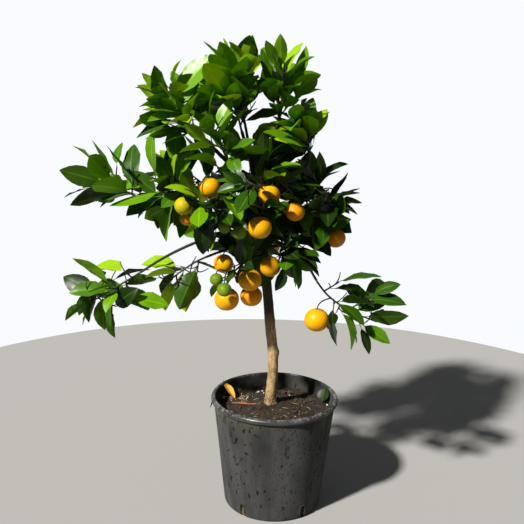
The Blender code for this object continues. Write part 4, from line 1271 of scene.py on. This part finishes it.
def grown_leaf(root, pointing, face, length, width, fold, arch, twist, cup, ruffle, phase):
    """The leaf's points folded along its rib, arched and twisted, and set on the twig."""
    x, u, up = pattern[:, 0] * width / 2, pattern[:, 1], pattern[:, 2]
    blade = np.clip((u - PETIOLE) / (1.0 - PETIOLE), 0.0, 1.0)
    side = np.abs(pattern[:, 0])
    lift = math.tan(fold) * np.abs(x) * np.minimum(blade * 4.0, 1.0) + up
    lift = lift - cup * width * side * side
    lift = lift + ruffle * length * side * side * np.sin(math.tau * 2.4 * u + phase)
    turn = twist * u
    across = x * np.cos(turn) - lift * np.sin(turn)
    lift = x * np.sin(turn) + lift * np.cos(turn)
    bend = np.where(np.abs(arch * u) < 1e-4, 1e-4, arch * u)
    ahead = length * u * np.sin(bend) / bend + lift * np.sin(bend)
    rise = -length * u * (1.0 - np.cos(bend)) / bend + lift * np.cos(bend)
    c, s = math.cos(arch * LEAF_REAR), math.sin(arch * LEAF_REAR)
    ahead, rise = ahead * c - rise * s, ahead * s + rise * c
    sideways = np.cross(pointing, face)
    return root + across[:, None] * sideways + ahead[:, None] * pointing + rise[:, None] * face


# Painted light and shade: the top masses, which stand in the sun, are dealt brighter tints, and the shaded
# front, right and low masses darker ones. The top masses' leaves are also longer.
SUNLIT_TOP_MASSES = ("mass_top", "mass_top_left", "mass_top_right", "mass_right_up", "mass_middle", "mass_back_top")
SHADED_MASSES = ("mass_front", "mass_right", "mass_low_front", "mass_low_right", "mass_low_back")
SHADED_MASSES += ("mass_back_right", "spray_right_low")
SUNLIT_TINT_SHARES = (0, 1, 4, 7, 4)
SHADED_TINT_SHARES = (9, 6, 3, 1, 0)
OTHER_SHARES = (1, 3, 6, 5, 0.5)
ODD_LEAVES = 0.25
SLENDERNESS = (0.44, 0.55)
FOLDS = (6, 30)
ARCHES = (-0.1, 0.85)
TWISTS = (-0.35, 0.35)
CUPS = (-0.10, 0.16)
RUFFLES = (0.0, 0.030)
PHASES = (0.0, math.tau)

pattern, leaf_faces, leaf_kinds = leaf_pattern()
parts = []
for n, (root, pointing, face, length, owner) in enumerate(leaves):
    spray = random.Random(owner * 31 + 5)
    name = MASS_NAMES[owner // TWIGS_EACH]
    shares = SUNLIT_TINT_SHARES if name in SUNLIT_TOP_MASSES else SHADED_TINT_SHARES if name in SHADED_MASSES else OTHER_SHARES
    tint = spray.choices(range(len(TINTS)), shares)[0]
    rng = random.Random(n * 13 + 7)
    if rng.random() < ODD_LEAVES:
        tint = min(max(tint + rng.choice((-1, 1)), 0), len(TINTS) - 1)
    width = length * rng.uniform(*SLENDERNESS)
    length *= YOUNG_LEAF_STRETCH if name in SUNLIT_TOP_MASSES else LEAF_STRETCH
    fold = math.radians(rng.uniform(*FOLDS))
    curl = [rng.uniform(*ends) for ends in (ARCHES, TWISTS, CUPS, RUFFLES, PHASES)]
    points = grown_leaf(root, pointing, face, length, width, fold, *curl)
    parts.append((points, leaf_faces, [3 * tint + kind for kind in leaf_kinds]))
leaf_piece = piece("leaves", joined("leaves", parts), leaf_finishes, 80)
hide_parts(*MASS_NAMES)

# Fallen leaves
# A green leaf leans on the pot's wall at the right, and a dry yellow one, folded along its rib,
# leans on it at the left.
GREEN_FALLEN = ((0.0765, 0.0200, 0.1560), (0.0820, 0.0330, 0.1780), (-0.50, -0.75, 0.30))
DRY_FALLEN = ((-0.0840, 0.0540, 0.1790), (-0.0635, 0.0250, 0.1580), (0.45, -0.55, 0.70))


def fallen_leaf(name, ends, width, finishes, fold, arch, twist, ruffle):
    """One leaf laid from its stalk's end to its tip."""
    start, tip, face = map(Vector, ends)
    pointing = (tip - start).normalized()
    face = (face - face.dot(pointing) * pointing).normalized()
    length = (tip - start).length
    place = [np.array(v) for v in (start, pointing, face)]
    points = grown_leaf(*place, length, width, fold, arch, twist, 0.0, ruffle, 1.0)
    return piece(name, joined(name, [(points, leaf_faces, leaf_kinds)]), finishes, 80)


dry_top = Finish("dry_leaf_top", (0.78, 0.42, 0.060), 0.7)
dry_top.layer(dry_top.grain(240.0, 3.0).between(0.42, 0.70), (0.55, 0.24, 0.040))
dry_rib = Finish("dry_leaf_rib", (0.45, 0.24, 0.07), 0.7)
dry_finishes = [dry_top, dry_top, dry_rib]
# The green fallen leaf takes the darkest tint, old, as painted shade, though it stands in the sun.
fallen_leaf("green_fallen_leaf", GREEN_FALLEN, 0.0220, leaf_finishes[:3], math.radians(10), 0.25, 0.1, 0.0)
fallen_leaf("dry_fallen_leaf", DRY_FALLEN, 0.0135, dry_finishes, math.radians(24), -0.2, 0.1, 0.01)

# Fruit
# Small round oranges, a little flat at the poles, with fine pores, a dimple at the top, and a
# green five-lobed calyx where the stalk comes in.
PEELS = (
    ("ripe_peel", (0.79, 0.34, 0.002), (0.83, 0.42, 0.002)),
    ("deep_peel", (0.78, 0.27, 0.002), (0.84, 0.34, 0.002)),
    ("turning_peel", (0.42, 0.38, 0.006), (0.62, 0.42, 0.006)),
    ("green_peel", (0.11, 0.20, 0.008), (0.19, 0.29, 0.010)),
)
CALYX_KIND, SCAR_KIND = 4, 5

fruit_finishes = []
for peel_name, dull, bright in PEELS:
    peel = Finish(peel_name, dull, 0.40)
    pores = peel.grain(1300.0, 1.0)
    peel.layer(peel.grain(70.0).between(0.35, 0.65), bright)
    peel.set("Roughness", 0.36 + pores * 0.12)
    peel.set("Specular IOR Level", 0.20)
    peel.set("Subsurface Weight", 0.08)
    peel.set("Subsurface Radius", (0.004, 0.0015, 0.0004))
    peel.bump(pores, 0.0004, 0.35)
    fruit_finishes.append(peel)
fruit_finishes.append(Finish("calyx_green", (0.12, 0.20, 0.035), 0.7))
fruit_finishes.append(Finish("peel_scar", (0.10, 0.055, 0.012), 0.8))

ball = bmesh.new()
bmesh.ops.create_uvsphere(ball, u_segments=28, v_segments=20, radius=0.5)
for corner in ball.verts:
    flat = math.hypot(corner.co.x, corner.co.y)
    around = math.atan2(corner.co.y, corner.co.x)
    pole = math.exp(-((flat / 0.13) ** 2))
    corner.co.z *= 0.94
    corner.co.z -= math.copysign(0.030, corner.co.z) * pole
    corner.co *= 1.0 + 0.006 * math.cos(7 * around) * math.exp(-(((flat - 0.22) / 0.14) ** 2))
ball_points, ball_faces = pattern_of(ball)
at_foot = [len(face) == 3 and ball_points[face[0]][2] < 0.0 for face in ball_faces]
star = bmesh.new()
star_ring = bmesh.ops.create_circle(star, cap_ends=True, segments=20, radius=0.0036)["verts"]
for corner in star_ring:
    around = math.atan2(corner.co.y, corner.co.x)
    corner.co *= 0.74 + 0.26 * math.cos(5 * around)
    corner.co.z = -0.0004
lifted = bmesh.ops.extrude_face_region(star, geom=list(star.faces))["geom"]
lifted = [item for item in lifted if isinstance(item, bmesh.types.BMVert)]
bmesh.ops.scale(star, vec=(0.7, 0.7, 1.0), verts=lifted)
bmesh.ops.translate(star, vec=(0, 0, 0.0011), verts=lifted)
bmesh.ops.recalc_face_normals(star, faces=star.faces)
star_points, star_faces = pattern_of(star)
parts = []
for n, (_, x, y, z, diameter, kind) in enumerate(FRUIT):
    rng = random.Random(n + 40)
    around, lean = rng.uniform(0, math.tau), rng.uniform(-0.12, 0.12)
    tilt = np.array(Matrix.Rotation(around, 3, "Z") @ Matrix.Rotation(lean, 3, "X"))
    centre = np.array([x, y, z])
    shape = ball_points * diameter * np.array([1.0, rng.uniform(0.97, 1.0), 1.0])
    kinds = [SCAR_KIND if foot else kind for foot in at_foot]
    parts.append((shape @ tilt.T + centre, ball_faces, kinds))
    small = diameter / 0.033
    cap = star_points * np.array([small, small, 1.0]) + 0.441 * diameter * UP
    parts.append((cap @ tilt.T + centre, star_faces, [CALYX_KIND] * len(star_faces)))
piece("fruit", joined("fruit", parts), fruit_finishes, 60)
